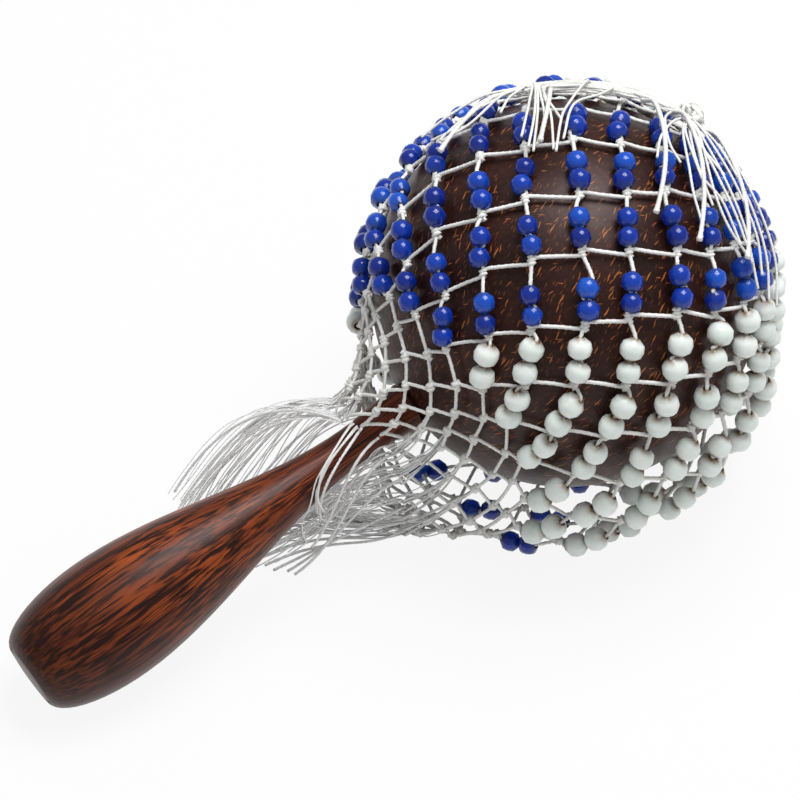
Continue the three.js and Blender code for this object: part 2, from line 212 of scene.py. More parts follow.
# %% Places over the net
def net_face(course, turn, layer):
    """Inner face of the net, kept a layer's thickness over the floor."""
    course, turn = np.broadcast_arrays(np.asarray(course, float), np.asarray(turn, float))
    skirt = on_skirt(np.maximum(course, BEADED_COURSES), turn)
    point = np.where((course <= BEADED_COURSES)[..., None], on_shell(course, turn), skirt)
    to_edge = np.clip((course - BEADED_COURSES) / SKIRT_COURSES, 0, 1)
    lowest = mix(layer, SKIRT_LAYER, to_edge)
    height = CENTRE_HEIGHT + point @ UPWARD
    return point + UPWARD * np.maximum(lowest - height, 0)[..., None]


def net_point(course, turn, lift, layer=NET_LAYER):
    """A place at some height over the net's inner face."""
    step = 0.05
    along = net_face(course + step, turn, layer) - net_face(course - step, turn, layer)
    around = net_face(course, turn + step, layer) - net_face(course, turn - step, layer)
    out = unit(np.cross(along, around))
    return net_face(course, turn, layer) + out * np.asarray(lift, float)[..., None]


def beaded_turn(cord, course):
    return START_TURN + PITCH * cord + BEADED_TURN * (course - START_COURSE)


def cross_turn(cord, course):
    return START_TURN + PITCH * cord - (PITCH - BEADED_TURN) * (course - START_COURSE)


print("edge of the skirt at the top:", net_point(EDGE, 0.0, KNOT_LIFT).round(1), "mm")

# %% [markdown]
# A hand-tied net is never quite even, so each knot is moved a little from its ideal place. The same
# moved place serves both of its cords, and a seeded generator gives the same net on every run.

# %% Places of the knots
STRAY_COURSE = 0.06
STRAY_DEGREES = 1.3
SKIRT_LOOSENESS = 2.0
tying = random.Random(7)
knot_course = np.zeros((CORDS, EDGE + 1))
knot_shift = np.zeros((CORDS, EDGE + 1))
for cord in range(CORDS):
    for course in range(EDGE + 1):
        loose = 1.0 if course < BEADED_COURSES else SKIRT_LOOSENESS
        knot_course[cord, course] = course + tying.uniform(-STRAY_COURSE, STRAY_COURSE) * loose
        stray = math.radians(tying.uniform(-STRAY_DEGREES, STRAY_DEGREES))
        knot_shift[cord, course] = stray * loose


def knot_turn(cord, course):
    return beaded_turn(cord, course) + knot_shift[cord, course]


def knot_place(cord, course):
    return net_point(knot_course[cord, course], knot_turn(cord, course), KNOT_LIFT)


print("knots:", knot_course.size)

# %% [markdown]
# ## Twine
# The cords are fine cotton twine of three plies. A bevelled curve would give a smooth wire, so each
# cord is swept as a tube whose ring has three low ridges, and the ring turns as it goes along.


# %% Lines
def fine_line(points, step):
    """A smooth line through the points, cut into pieces of about one step."""
    points = np.asarray(points, float)
    ends = np.vstack([2 * points[0] - points[1], points, 2 * points[-1] - points[-2]])
    line = []
    for a, b, c, d in zip(ends, ends[1:], ends[2:], ends[3:]):
        count = max(1, int(round(np.linalg.norm(c - b) / step)))
        t = (np.arange(count) / count)[:, None]
        bend = 2 * a - 5 * b + 4 * c - d
        line.append(b + 0.5 * t * (c - a + t * (bend + t * (3 * (b - c) + d - a))))
    line.append(points[-1:])
    return np.vstack(line)


def distance_along(line):
    return np.concatenate([[0], np.cumsum(np.linalg.norm(np.diff(line, axis=0), axis=1))])


def length_of(line):
    return float(distance_along(line)[-1])


def most_across(arrow):
    """The axis of the room that points least along an arrow."""
    return np.eye(3)[np.argmin(np.abs(arrow))]


def carried_axes(line):
    """Two arrows across the line at each point, carried along it without twisting."""
    along = unit(np.gradient(line, axis=0))
    first = np.zeros_like(line)
    arrow = np.cross(along[0], most_across(along[0]))
    for i, forward in enumerate(along):
        arrow = arrow - forward * arrow.dot(forward)
        arrow = arrow / math.sqrt(arrow.dot(arrow))
        first[i] = arrow
    return first, np.cross(along, first)


meridian = knot_place(0, np.arange(EDGE + 1))
print("the first cord is about", round(length_of(meridian)), "mm long")

# %% Tubes
TWINE_RADIUS, SKIRT_TWINE_RADIUS = 0.6, 0.5
NO_TWIST = 1e6


def swept(vertices, sides):
    """Faces between the rings of a tube, with both ends closed."""
    faces = []
    for i in range(len(vertices) // sides - 1):
        for j in range(sides):
            a = i * sides + j
            b = i * sides + (j + 1) % sides
            faces.append((a, b, b + sides, a + sides))
    last = len(vertices) - sides
    faces.append(tuple(reversed(range(sides))))
    faces.append(tuple(range(last, last + sides)))
    return vertices, faces


def twisted(line, radius, lay=6.0, ridge=0.06, sides=6):
    """A tube with three low ridges, the plies of a twine, that wind along it."""
    first, second = carried_axes(line)
    corner = 2 * math.pi * np.arange(sides) / sides
    phase = corner + 2 * math.pi * distance_along(line)[:, None] / lay
    ring = first[:, None] * np.cos(phase)[..., None] + second[:, None] * np.sin(phase)[..., None]
    out = np.broadcast_to(radius, len(line))[:, None] * (1 + ridge * np.cos(3 * corner))
    return swept((line[:, None] + ring * out[..., None]).reshape(-1, 3), sides)


def tube(line, radius, sides=6):
    """A plain closed tube round a line."""
    return twisted(line, radius, NO_TWIST, 0.0, sides)


print("twine radius", TWINE_RADIUS, "mm, in the skirt", SKIRT_TWINE_RADIUS, "mm")


# %% New pieces
def joined(meshes):
    """Several meshes as one list of vertices and faces."""
    vertices, faces, start = [], [], 0
    for part, part_faces in meshes:
        vertices.append(np.asarray(part))
        faces += [tuple(start + i for i in face) for face in part_faces]
        start += len(part)
    return np.vstack(vertices), faces


def piece_from(name, meshes, material):
    """A new piece of the net from meshes in millimetres."""
    vertices, faces = joined(meshes)
    mesh = bpy.data.meshes.new(name)
    mesh.from_pydata(to_world(vertices), [], faces)
    mesh.materials.append(material)
    mesh.shade_smooth()
    piece = bpy.data.objects.new(name, mesh)
    bpy.context.scene.collection.objects.link(piece)
    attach(piece, "bead_net")
    return piece


def numbered(name, cord):
    """Name of a piece that belongs to one cord; the first cord has number 01."""
    return f"{name}_{cord + 1:02d}"


print("cords are numbered from", numbered("cord", 0), "to", numbered("cord", CORDS - 1))

# %% [markdown]
# ## Finishes
# A finish is a small tree of nodes that ends in the Principled shader. Every helper adds one node.
# What is a socket is linked, and what is a plain value is written straight into the input.

# %% Helpers for finishes
BLACK, WHITE = (0, 0, 0), (1, 1, 1)


def is_socket(value):
    return isinstance(value, bpy.types.NodeSocket)


def set_inputs(tree, node, inputs):
    """Sets inputs of a node: a socket is linked, a plain value is written in."""
    for name, value in inputs.items():
        if is_socket(value):
            tree.links.new(value, node.inputs[name])
        else:
            node.inputs[name].default_value = value


def add_node(tree, kind, inputs=None, **settings):
    node = tree.nodes.new(kind)
    for setting, value in settings.items():
        setattr(node, setting, value)
    set_inputs(tree, node, inputs or {})
    return node


def new_finish(name):
    """A material with its node tree and its Principled shader."""
    material = bpy.data.materials.new(name)
    material.use_nodes = True
    tree = material.node_tree
    return material, tree, tree.nodes["Principled BSDF"]


def object_coordinates(tree):
    return add_node(tree, "ShaderNodeTexCoord").outputs["Object"]


print("light and dark ends of a mask:", WHITE, BLACK)


# %% Helpers for patterns
def add_math(tree, operation, first, second):
    return add_node(tree, "ShaderNodeMath", {0: first, 1: second}, operation=operation).outputs[0]


def add_vector(tree, operation, *values):
    """A sum, product or measure of vectors."""
    inputs = dict(enumerate(values))
    return add_node(tree, "ShaderNodeVectorMath", inputs, operation=operation).outputs


def add_range(tree, value, **limits):
    """A number moved to another range, as from_min=0, to_max=2."""
    inputs = {limit.replace("_", " ").title(): amount for limit, amount in limits.items()}
    return add_node(tree, "ShaderNodeMapRange", {"Value": value, **inputs}).outputs["Result"]


def add_ramp(tree, factor, *stops):
    """A colour ramp; each stop is a place and a colour."""
    ramp = add_node(tree, "ShaderNodeValToRGB", {"Fac": factor})
    elements = ramp.color_ramp.elements
    while len(elements) < len(stops):
        elements.new(0.5)
    for element, (place, colour) in zip(elements, stops):
        element.position = place
        element.color = (*colour, 1)
    return ramp.outputs["Color"]


def add_blend(tree, factor, first, second, mode="MIX"):
    """Two colours mixed; each is a socket or a plain colour."""
    first, second = [value if is_socket(value) else (*value, 1) for value in (first, second)]
    inputs = {0: factor, 6: first, 7: second}
    return add_node(tree, "ShaderNodeMix", inputs, data_type="RGBA", blend_type=mode).outputs[2]


def add_noise(tree, vector, scale, detail=2.0, roughness=0.5):
    inputs = {"Vector": vector, "Scale": scale, "Detail": detail, "Roughness": roughness}
    return add_node(tree, "ShaderNodeTexNoise", inputs).outputs["Fac"]


def add_bump(tree, shader, height, strength, distance):
    inputs = {"Height": height, "Strength": strength, "Distance": distance}
    bump = add_node(tree, "ShaderNodeBump", inputs)
    set_inputs(tree, shader, {"Normal": bump.outputs["Normal"]})


print("materials before the first finish:", len(bpy.data.materials))

# %% [markdown]
# Raw cotton is off-white and dull, a little darker where hands have been. Two noises do it: a broad
# one for the tone and a fine one for the fibres, which also roughens the surface as a bump. The fine
# noise varies the fibres' colour a little and makes it darker where the bump is low, which is
# painted shade in the creases. The loose threads are paler, and some light seeps through them.


# %% Finish of the twine
def cotton_finish(name, dull, pale, through, bump):
    """Cotton between two tones; through is the share of light that seeps through it."""
    material, tree, shader = new_finish(name)
    place = object_coordinates(tree)
    tone = add_ramp(tree, add_noise(tree, place, 160, 3), (0.3, dull), (0.6, pale))
    fibre = add_noise(tree, place, 3200, 2)
    # the fibres' colour varies a little, and it is darker where their bump is low: painted shade in
    # the creases
    shade = add_ramp(tree, fibre, (0.3, (0.9, 0.9, 0.89)), (0.6, WHITE))
    set_inputs(tree, shader, {
        "Base Color": add_blend(tree, 1.0, tone, shade, "MULTIPLY"),
        "Roughness": 0.85,
        "Sheen Weight": 0.2 + 0.4 * through,
        "Subsurface Weight": through,
        "Subsurface Radius": (1, 1, 1),
        "Subsurface Scale": 0.0008,
    })
    add_bump(tree, shader, fibre, bump, 0.0002)
    return material


twine = cotton_finish("cotton_twine", (0.80, 0.795, 0.765), (0.92, 0.92, 0.90), 0.0, 0.35)
loose_thread = cotton_finish("loose_thread", (0.95, 0.96, 0.945), (0.98, 0.985, 0.98), 1.0, 0.1)
print("finishes:", twine.name, loose_thread.name)

# %% [markdown]
# ## Outline of the handle
# The fringe and the handle both need the handle's outline: the fringe lies round it, and the handle
# is turned to it. It has a thin neck at the coconut, a long swell to a belly and a flat butt.

# %% Outline of the handle
TENON_RADIUS, TENON_END, TENON_EDGE = 5, 40, 0.6
SHOULDER_RADIUS, SHOULDER_EDGE = 7, 0.4
GLUE_GAP = 0.3
SHOULDER = math.sqrt(SHELL_RADIUS ** 2 - TENON_RADIUS ** 2) + GLUE_GAP
NECK_RADIUS = 5.4
NECK = SHELL_RADIUS + 19.5
BELLY_RADIUS = 17.8
BELLY = SHELL_RADIUS + 102
BUTT_RADIUS, BUTT_EDGE = 8.7, 0.9
BUTT = SHELL_RADIUS + 129

hidden = [(0, TENON_END), (TENON_RADIUS - TENON_EDGE, TENON_END),
          (TENON_RADIUS, TENON_END + TENON_EDGE), (TENON_RADIUS, SHOULDER),
          (SHOULDER_RADIUS - SHOULDER_EDGE, SHOULDER)]
outline = hidden + [(SHOULDER_RADIUS, SHOULDER + SHOULDER_EDGE)]
for t in np.linspace(0.1, 1, 8):
    flare = (SHOULDER_RADIUS - NECK_RADIUS) * (1 - t) ** 2
    outline.append((NECK_RADIUS + flare, mix(SHOULDER, NECK, t)))
for t in np.linspace(0, 1, 19)[1:]:
    swell = (BELLY_RADIUS - NECK_RADIUS) * float(smoothstep(t, 0, 1))
    outline.append((NECK_RADIUS + swell, mix(NECK, BELLY, t)))
for sweep in np.linspace(0, math.pi / 2, 13)[1:-1]:
    radius = BUTT_RADIUS + (BELLY_RADIUS - BUTT_RADIUS) * math.cos(sweep)
    outline.append((radius, mix(BELLY, BUTT, math.sin(sweep))))
outline += [(BUTT_RADIUS + 0.35, BUTT - BUTT_EDGE), (BUTT_RADIUS - 0.3, BUTT - 0.25),
            (BUTT_RADIUS - BUTT_EDGE, BUTT), (0, BUTT)]
outline_radius, outline_distance = np.array(outline[len(hidden):-1]).T


def clear_of_handle(points, gap):
    """Moves points that lie in the handle or the floor out to a gap from its surface."""
    points = np.array(points, float)
    limit = np.interp(-points[:, 0], outline_distance, outline_radius, left=0, right=0)
    limit = np.where(limit > 0, limit + gap, 0)
    reach = np.linalg.norm(points[:, 1:], axis=1)
    push = np.where(reach < limit, limit / np.maximum(reach, 0.01), 1)
    points[:, 1:] *= push[:, None]
    height = CENTRE_HEIGHT + points @ UPWARD
    return points + UPWARD * np.maximum(gap - height, 0)[:, None]


print("outline points:", len(outline))

# %% [markdown]
# ## Fringe
# Past the last knots the cords fray into locks of loose thread, which fall over and under the neck
# to the floor. Each lock has one leading thread, a piece of its own, and a few finer ones beside it.
# All are cut off plain, as on the real net.

# %% Course of a lock
FRINGE_SEAT, FRINGE_START = 0.3, 1.5
FRINGE_SPRING = 14
FRINGE_REST = 1.3
FRINGE_PARTING = math.radians(25)
FAN_POWER = 1.3
FRONT_LOCKS = {"reach": 33, "run": -2, "y": -9, "height": 28, "out": 8, "crest": 12}
LOWER_LOCKS = {"reach": 43, "run": 24, "y": -6, "crest": 0}
UPPER_LOCKS = {"reach": 52, "run": 13, "y": 43, "lift": 4, "out": 10, "crest": 28, "inset": 6,
               "over": 8}
FRONT_FADE, UPPER_FADE, OVER_FADE = (0.06, 0.14), (0.55, 0.9), (0.93, 1)
FRINGE_KNOT_LIFT = 3.35
LEVEL_AWAY = np.array([-math.cos(RISE), 0, math.sin(RISE)])


def over_floor(x, y, height):
    """A place by level distances from the coconut's middle and a height over the floor."""
    drop = height - CENTRE_HEIGHT
    return np.array([math.cos(RISE) * x + math.sin(RISE) * drop, y,
                     math.cos(RISE) * drop - math.sin(RISE) * x])


def bezier(points, count):
    """A cubic curve through its first and last points."""
    t = np.linspace(0, 1, count)[:, None]
    a, b, c, d = points
    return (1 - t) ** 3 * a + 3 * t * (1 - t) ** 2 * b + 3 * t ** 2 * (1 - t) * c + t ** 3 * d


def lock_order(cord):
    """Share of the way round the neck at which a lock hangs, from the parting in front."""
    return ((beaded_turn(cord, EDGE) - FRINGE_PARTING) % (2 * math.pi)) / (2 * math.pi)


def lock_curve(cord):
    """Start and the four guide points of a lock of the fringe."""
    turn = (beaded_turn(cord, EDGE) + math.pi) % (2 * math.pi) - math.pi
    order = lock_order(cord)
    front = 1 - smoothstep(order, *FRONT_FADE)
    upper = smoothstep(order, *UPPER_FADE)
    over = UPPER_LOCKS["over"] * smoothstep(order, *OVER_FADE)

    def blend(key):
        return mix(mix(LOWER_LOCKS[key], UPPER_LOCKS[key], upper), FRONT_LOCKS[key], front)

    knot = net_point(EDGE, turn, FRINGE_KNOT_LIFT)
    onward = unit(knot - net_point(EDGE - 0.5, turn - BEADED_TURN / 2, FRINGE_KNOT_LIFT))
    begin = knot + onward * FRINGE_SEAT
    leave = begin + onward * FRINGE_START
    lead = leave + LEVEL_AWAY * FRINGE_SPRING + UPWARD * (UPPER_LOCKS["lift"] * upper + over)
    lead[1] += UPPER_LOCKS["out"] * upper - FRONT_LOCKS["out"] * front
    reach = SHELL_RADIUS + blend("reach")
    end_y = mix(mix(LOWER_LOCKS["y"], UPPER_LOCKS["y"], order ** FAN_POWER), FRONT_LOCKS["y"], front)
    height = mix(FRINGE_REST, FRONT_LOCKS["height"], front)
    drop = over_floor(blend("run") - reach, end_y - UPPER_LOCKS["inset"] * upper,
                      height + blend("crest") + over)
    return begin, [leave, lead, drop, over_floor(-reach, end_y, height)]


print("first lock hangs", round(lock_order(0), 2), "of the way round the neck")

# %% Leading threads of the fringe
THREAD_RADIUS, THREAD_LAY, THREAD_GAP = 0.42, 4.0, 0.2
THREAD_POINTS, THREAD_STEP = 24, 1.0
CUT_SHARE = (0.86, 1.0)
cutting = random.Random(2)
thread_lines = []
for cord in range(CORDS):
    knot, guides = lock_curve(cord)
    line = fine_line(np.vstack([knot, bezier(guides, THREAD_POINTS)]), THREAD_STEP)
    line = line[:int(len(line) * cutting.uniform(*CUT_SHARE))]
    thread_lines.append(clear_of_handle(line, THREAD_RADIUS + THREAD_GAP))
print("leading threads:", [round(length_of(line)) for line in thread_lines], "mm")

# %% [markdown]
# The finer threads leave the skirt on both sides of that knot, the lower ones from further up in the
# net, and lie beside the leading one, as if combed. Each keeps its own place across the lock, with a
# few slow waves. In front of the neck a few threads hang from one place, the parting.

# %% One fine thread
FINE_RADIUS, FINE_RANGE, FINE_GAP = 0.2, (0.8, 1.25), 0.25
FINE_POINTS, FINE_STEP = 22, 1.8
LOWER_SPREAD = ((-4, 9), (3, 17), (0, 6))
LOCK_KINDS = {
    "front": {"threads": 2, "thickness": 1.3, "spread": ((-8, 7), (-2, 2), (-6, 7))},
    "side": {"threads": 8, "thickness": 1, "spread": LOWER_SPREAD, "courses_up": 3},
    "lower": {"threads": 14, "thickness": 1, "spread": LOWER_SPREAD, "courses_up": 3},
    "upper": {"threads": 9, "thickness": 0.82, "spread": ((-3, 9), (-8, 3), (-4, 4)),
              "courses_up": 1},
}
FRONT_END, SIDE_END, UPPER_BEGIN, PARTING_BEGIN = 0.12, 0.2, 0.6, 0.95
HALF_PITCH, PARTING_SIDE = 0.5, 0.3
PARTING_CORD, PARTING_WIDTH = 9.65, 0.45
GUIDE_SHARES = (0.06, 0.45, 0.9, 1.0)
WAVES = ((0.9, 1.1), (2.3, 0.5))
STRAY, ROOT_STRAY, ROOT_LIFT = 0.8, 0.4, 3.2
fraying = random.Random(21)


def lock_kind(order):
    """Few threads hang in front of the neck, some more beside it, and most below it."""
    if order > UPPER_BEGIN:
        return "upper"
    if order < FRONT_END:
        return "front"
    return "side" if order < SIDE_END else "lower"


def wander(size):
    return np.array([fraying.uniform(-size, size) for _ in range(3)])


def waves(curve):
    """The curve with slow waves that grow towards its end."""
    t = np.linspace(0, 1, len(curve))[:, None]
    for turns, size in WAVES:
        curve = curve + t * wander(size) * np.sin(2 * math.pi * (turns * t + fraying.random()))
    return curve


def beside_guides(guides, spread):
    """Guide points of one thread at its own place across the lock."""
    aside = np.array([fraying.uniform(low, high) for low, high in spread])
    return [guide + aside * share + wander(STRAY * share)
            for guide, share in zip(guides, GUIDE_SHARES)]


def root_in_net(cord, beside, courses_up):
    """A thread starts in a knot of the skirt and runs over the net to the edge."""
    course = EDGE - fraying.randint(1, courses_up)
    half_turn = (knot_turn(cord, course) + beaded_turn(beside, EDGE)) / 2
    return np.stack([knot_place(cord, course), net_point((course + EDGE) / 2, half_turn, ROOT_LIFT)])


def fine_thread(cord, order):
    """Mesh of one fine thread of a lock."""
    kind = LOCK_KINDS[lock_kind(order)]
    far_side = PARTING_SIDE if order > PARTING_BEGIN else HALF_PITCH
    beside = cord + fraying.uniform(-HALF_PITCH, far_side)
    if order < FRONT_END:
        beside = PARTING_CORD + PARTING_WIDTH * (beside - cord)
    knot, guides = lock_curve(beside)
    root = knot + wander(ROOT_STRAY)
    own_guides = beside_guides(guides, kind["spread"])
    curve = np.vstack([root, waves(bezier(own_guides, FINE_POINTS))])
    if "courses_up" in kind:
        curve = np.vstack([root_in_net(cord, beside, kind["courses_up"]), curve])
    radius = FINE_RADIUS * fraying.uniform(*FINE_RANGE) * kind["thickness"]
    return tube(clear_of_handle(fine_line(curve, FINE_STEP), radius + FINE_GAP), radius)


print("fine threads by lock:", {kind: facts["threads"] for kind, facts in LOCK_KINDS.items()})


for cord, line in enumerate(thread_lines):
    lead_mesh = twisted(line, THREAD_RADIUS, THREAD_LAY)
    lead_piece = piece_from(numbered("fringe_thread", cord), [lead_mesh], loose_thread)
    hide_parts(numbered("fringe", cord))
    order = lock_order(cord)
    threads = [fine_thread(cord, order) for _ in range(LOCK_KINDS[lock_kind(order)]["threads"])]
    lock = piece_from(numbered("fringe_lock", cord), threads, loose_thread)
print("fringe locks:", CORDS)

# %% [markdown]
# ## Loose ends at the crown
# The net's ends are gathered in a skein that lies over the top of the coconut. Some ends leave it
# and lie over the beads, each a free cord of its own with a plain cut end. A tail is given by its
# share of the way along the skein, half the skein's width there, the angle and turn of its end in
# degrees, and a sideways bow in millimetres. Finer strands lie beside it, each through its own
# places of angle and turn.

# %% Lines over the beads
SKEIN_LIFT = 6.06
TAIL_LIFT = 9.1
TAIL_RISE = 8
STRAND_LIFT, STRAND_START_LIFT = TAIL_LIFT - 0.4, SKEIN_LIFT + 1.2
SEAT_GAP = 0.3
STRAND_STEP = 0.5
KNOT_OUT = direction(math.radians(30), math.radians(4))
SKEIN_OUT = direction(math.radians(71), math.radians(-28))


def along_skein(share):
    return unit(mix(KNOT_OUT, SKEIN_OUT, np.asarray(share, float)[..., None]))


def tail_line(share, width, angle, turn, bow):
    """A line from a share of the skein to a place over the beads, bowed sideways by some mm."""
    begin, end = along_skein(share), direction(math.radians(angle), math.radians(turn))
    length = np.linalg.norm(begin - end) * (SHELL_RADIUS + SKEIN_LIFT)
    start = (width + SEAT_GAP) / length
    t = np.linspace(start, 1, 30)
    lift = mix(SKEIN_LIFT, TAIL_LIFT, smoothstep(t, start, start + TAIL_RISE / length))
    line = unit(mix(begin, end, t[:, None])) * (SHELL_RADIUS + lift)[:, None]
    sideways = np.sin(math.pi * (t - start) / (1 - start))
    return line + np.outer(sideways, unit(np.cross(begin, end))) * bow


def strand_over(places):
    """A strand through places over the beads, each an angle and a turn in degrees."""
    angles, turns = np.radians(np.array(places, float)).T
    lifts = np.full(len(angles), STRAND_LIFT)
    lifts[0] = STRAND_START_LIFT
    return fine_line(direction(angles, turns) * (SHELL_RADIUS + lifts)[:, None], STRAND_STEP)


TAILS = [(0.0, 3.0, 58, 61, 1.5), (0.16, 1.8, 68, 46, 1.0), (0.32, 1.8, 73, 33, 2.0),
         (0.8, 1.8, 82, -1, 0.8), (0.97, 1.8, 99.5, -21.5, -1.0)]
STRANDS = [
    [[(34, 8), (42, 19), (47, 34), (52, 50), (57, 64)],
     [(34, 10), (40, 20), (46, 39), (52, 55), (60, 71)],
     [(33, 6), (46, 21), (53, 33), (53, 43), (57, 57)],
     [(34, 8), (42, 22), (53, 39), (57, 50), (57, 62)],
     [(32, 8), (38, 22), (43, 42), (49, 60), (56, 70)],
     [(32, 10), (37, 30), (43, 52), (50, 68), (58, 78)],
     [(30, 10), (34, 32), (40, 56), (47, 74), (56, 84)],
     [(31, 6), (40, 14), (45, 28), (49, 40)]],
    [[(36, 10), (45, 17), (52, 30), (57, 42)], [(36, 12), (44, 22), (45, 38)],
     [(38, 10), (47, 18), (55, 29), (60, 36), (64, 44)]],
    [[(38, 8), (47, 12), (55, 16), (61, 21)], [(40, 4), (48, 10), (54, 19), (56, 26)]],
    [[(68, -26), (70, -22), (77, -13), (84, -6)], [(68, -26), (69, -22), (77, -10), (85, -2)],
     [(67, -26), (69, -21), (76, -10), (85, 0)], [(66, -25), (69, -20), (76, -7), (83, -1)],
     [(65, -24), (70, -16), (74, -7), (81, 3)], [(54, -20), (57, -17), (68, -8), (73, -4), (81, 4)],
     [(50, -14), (58, -8), (67, -7), (77, 2)], [(64, -24), (69, -18), (72, -8), (73, -4)]],
    [[(70, -27), (72, -24), (77, -22), (82, -18)], [(70, -28), (78, -25), (89, -22), (97, -25)],
     [(71, -28), (79, -25), (88, -26), (97, -26)], [(71, -29), (82, -28), (92, -25), (98, -29)],
     [(71, -29), (80, -31), (90, -33), (98, -35)]],
]
print("tails at the crown:", len(TAILS), "with", sum(map(len, STRANDS)), "finer strands")

# %% Tails at the crown
TAIL_RADIUS, TAIL_LAY = 0.7, 5.0
STRAND_RADIUS, STRAND_LAY = 0.41, 4.0
FRAYED_END, FRAYED_FROM, FRAYED_TO = 0.3, 2.5, 0.8


def strand(line):
    return twisted(line, STRAND_RADIUS, STRAND_LAY)


for index, (tail_facts, places_beside) in enumerate(zip(TAILS, STRANDS)):
    line = fine_line(tail_line(*tail_facts), STRAND_STEP)
    reach = distance_along(line)
    frayed = smoothstep(reach, reach[-1] - FRAYED_FROM, reach[-1] - FRAYED_TO)
    tail_mesh = twisted(line, TAIL_RADIUS * (1 + FRAYED_END * frayed), TAIL_LAY)
    tail = piece_from(numbered("crown_tail_end", index), [tail_mesh], twine)
    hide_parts(numbered("crown_tail", index))
    strands = [strand(strand_over(places)) for places in places_beside]
    beside = piece_from(numbered("crown_strands", index), strands, twine)
    print(tail.name, round(length_of(line)), "mm")

# %% [markdown]
# ## Coconut shell
# The shell is a real hollow nut with a hole at the neck for the handle. A UV sphere is turned so
# that one pole faces the neck, that pole is cut out as the hole, the nut gets a slight natural
# unevenness, and Solidify gives it its wall.


# %% Helpers for modelling
def start_fresh():
    bpy.ops.object.select_all(action="DESELECT")


def cut_away(piece, is_cut):
    """Deletes the vertices whose places pass a test, and stays in edit mode."""
    bpy.ops.object.mode_set(mode="EDIT")
    bpy.ops.mesh.select_all(action="DESELECT")
    mesh = bmesh.from_edit_mesh(piece.data)
    for vertex in mesh.verts:
        vertex.select = bool(is_cut(vertex.co))
    mesh.select_flush(True)
    bmesh.update_edit_mesh(piece.data)
    bpy.ops.mesh.delete(type="VERT")


def face_outwards():
    """Turns all faces outwards and leaves edit mode."""
    bpy.ops.mesh.select_all(action="SELECT")
    bpy.ops.mesh.normals_make_consistent(inside=False)
    bpy.ops.object.mode_set(mode="OBJECT")


# %% Shell
SHELL_WALL = 4
HOLE_RADIUS, HOLE_MARGIN = 5.3, 0.5
UNEVEN, UNEVEN_SCALE = 0.25, 38


def in_neck_hole(place):
    local = (np.array(place) / MM - CENTRE) @ AXES
    return local[0] < 0 and np.hypot(local[1], local[2]) < HOLE_RADIUS - HOLE_MARGIN


start_fresh()
bpy.ops.mesh.primitive_uv_sphere_add(segments=128, ring_count=64, radius=SHELL_RADIUS * MM,
                                     location=CENTRE * MM, rotation=(0, math.pi / 2 - RISE, 0))
shell = bpy.context.object
shell.name = "polished_shell"
bpy.ops.object.transform_apply(location=True, rotation=True, scale=True)
cut_away(shell, in_neck_hole)
bpy.ops.object.mode_set(mode="OBJECT")
for vertex in shell.data.vertices:
    outwards = vertex.co - Vector(CENTRE * MM)
    dent = 0.5 + 0.5 * noise.noise(outwards * UNEVEN_SCALE)
    vertex.co -= outwards.normalized() * dent * UNEVEN * MM
wall = shell.modifiers.new("wall", "SOLIDIFY")
wall.thickness = SHELL_WALL * MM
wall.offset = -1
bpy.ops.object.modifier_apply(modifier="wall")
bpy.ops.object.shade_smooth_by_angle(angle=math.radians(40))
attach(shell, "shell_and_handle")
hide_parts("coconut_shell")
print("shell faces:", len(shell.data.polygons))

# %% [markdown]
# Polished coconut is dark red-brown, with short tan dashes where fibres were cut. Each layer of
# dashes is a Voronoi pattern on the sphere's own UV map, so the dashes lie flat in the surface. The
# cells are stretched, only the heart of a cell is painted, and a random share of them stays bare.

# %% Dashes on the shell
RIPPLE = 0.9
DASH_FADE = 0.55


def on_surface(tree):
    """The sphere's UV map in mm at its equator, made uneven by a noise."""
    uv = add_node(tree, "ShaderNodeUVMap", uv_map="UVMap").outputs["UV"]
    size = (2 * math.pi * SHELL_RADIUS, math.pi * SHELL_RADIUS, 1)
    flat = add_vector(tree, "MULTIPLY", uv, size)[0]
    ripple = add_node(tree, "ShaderNodeTexNoise", {"Vector": flat, "Scale": 0.6, "Detail": 2.0})
    return add_vector(tree, "MULTIPLY_ADD", ripple.outputs["Color"], (RIPPLE, RIPPLE, 0), flat)[0]


def dashes(tree, surface, slant, size, heart, share):
    """One layer of short dashes: 1 inside a dash, 0 outside."""
    inputs = {"Vector": surface, "Rotation": (0, 0, math.radians(slant)), "Scale": (*size, 1)}
    turned = add_node(tree, "ShaderNodeMapping", inputs, vector_type="TEXTURE").outputs["Vector"]
    inputs = {"Vector": turned, "Scale": 1.0}
    cells = add_node(tree, "ShaderNodeTexVoronoi", inputs, voronoi_dimensions="2D").outputs
    inside = add_range(tree, cells["Distance"], from_min=heart, from_max=heart * DASH_FADE)
    pick = add_node(tree, "ShaderNodeSeparateColor", {"Color": cells["Color"]}).outputs["Red"]
    return add_math(tree, "MULTIPLY", inside, add_math(tree, "LESS_THAN", pick, share))


# slant in degrees, width and length of a cell in mm, painted heart, share of cells, colour
DASH_LAYERS = (
    (24, (1.35, 10.5), 0.17, 0.22, (0.44, 0.145, 0.036)),
    (36, (1.3, 9.0), 0.16, 0.20, (0.36, 0.115, 0.03)),
    (8, (1.5, 8.0), 0.15, 0.18, (0.30, 0.09, 0.025)),
    (-35, (1.4, 7.0), 0.14, 0.15, (0.33, 0.10, 0.026)),
    (26, (0.8, 4.5), 0.19, 0.34, (0.16, 0.05, 0.018)),
)
print("layers of dashes:", len(DASH_LAYERS))


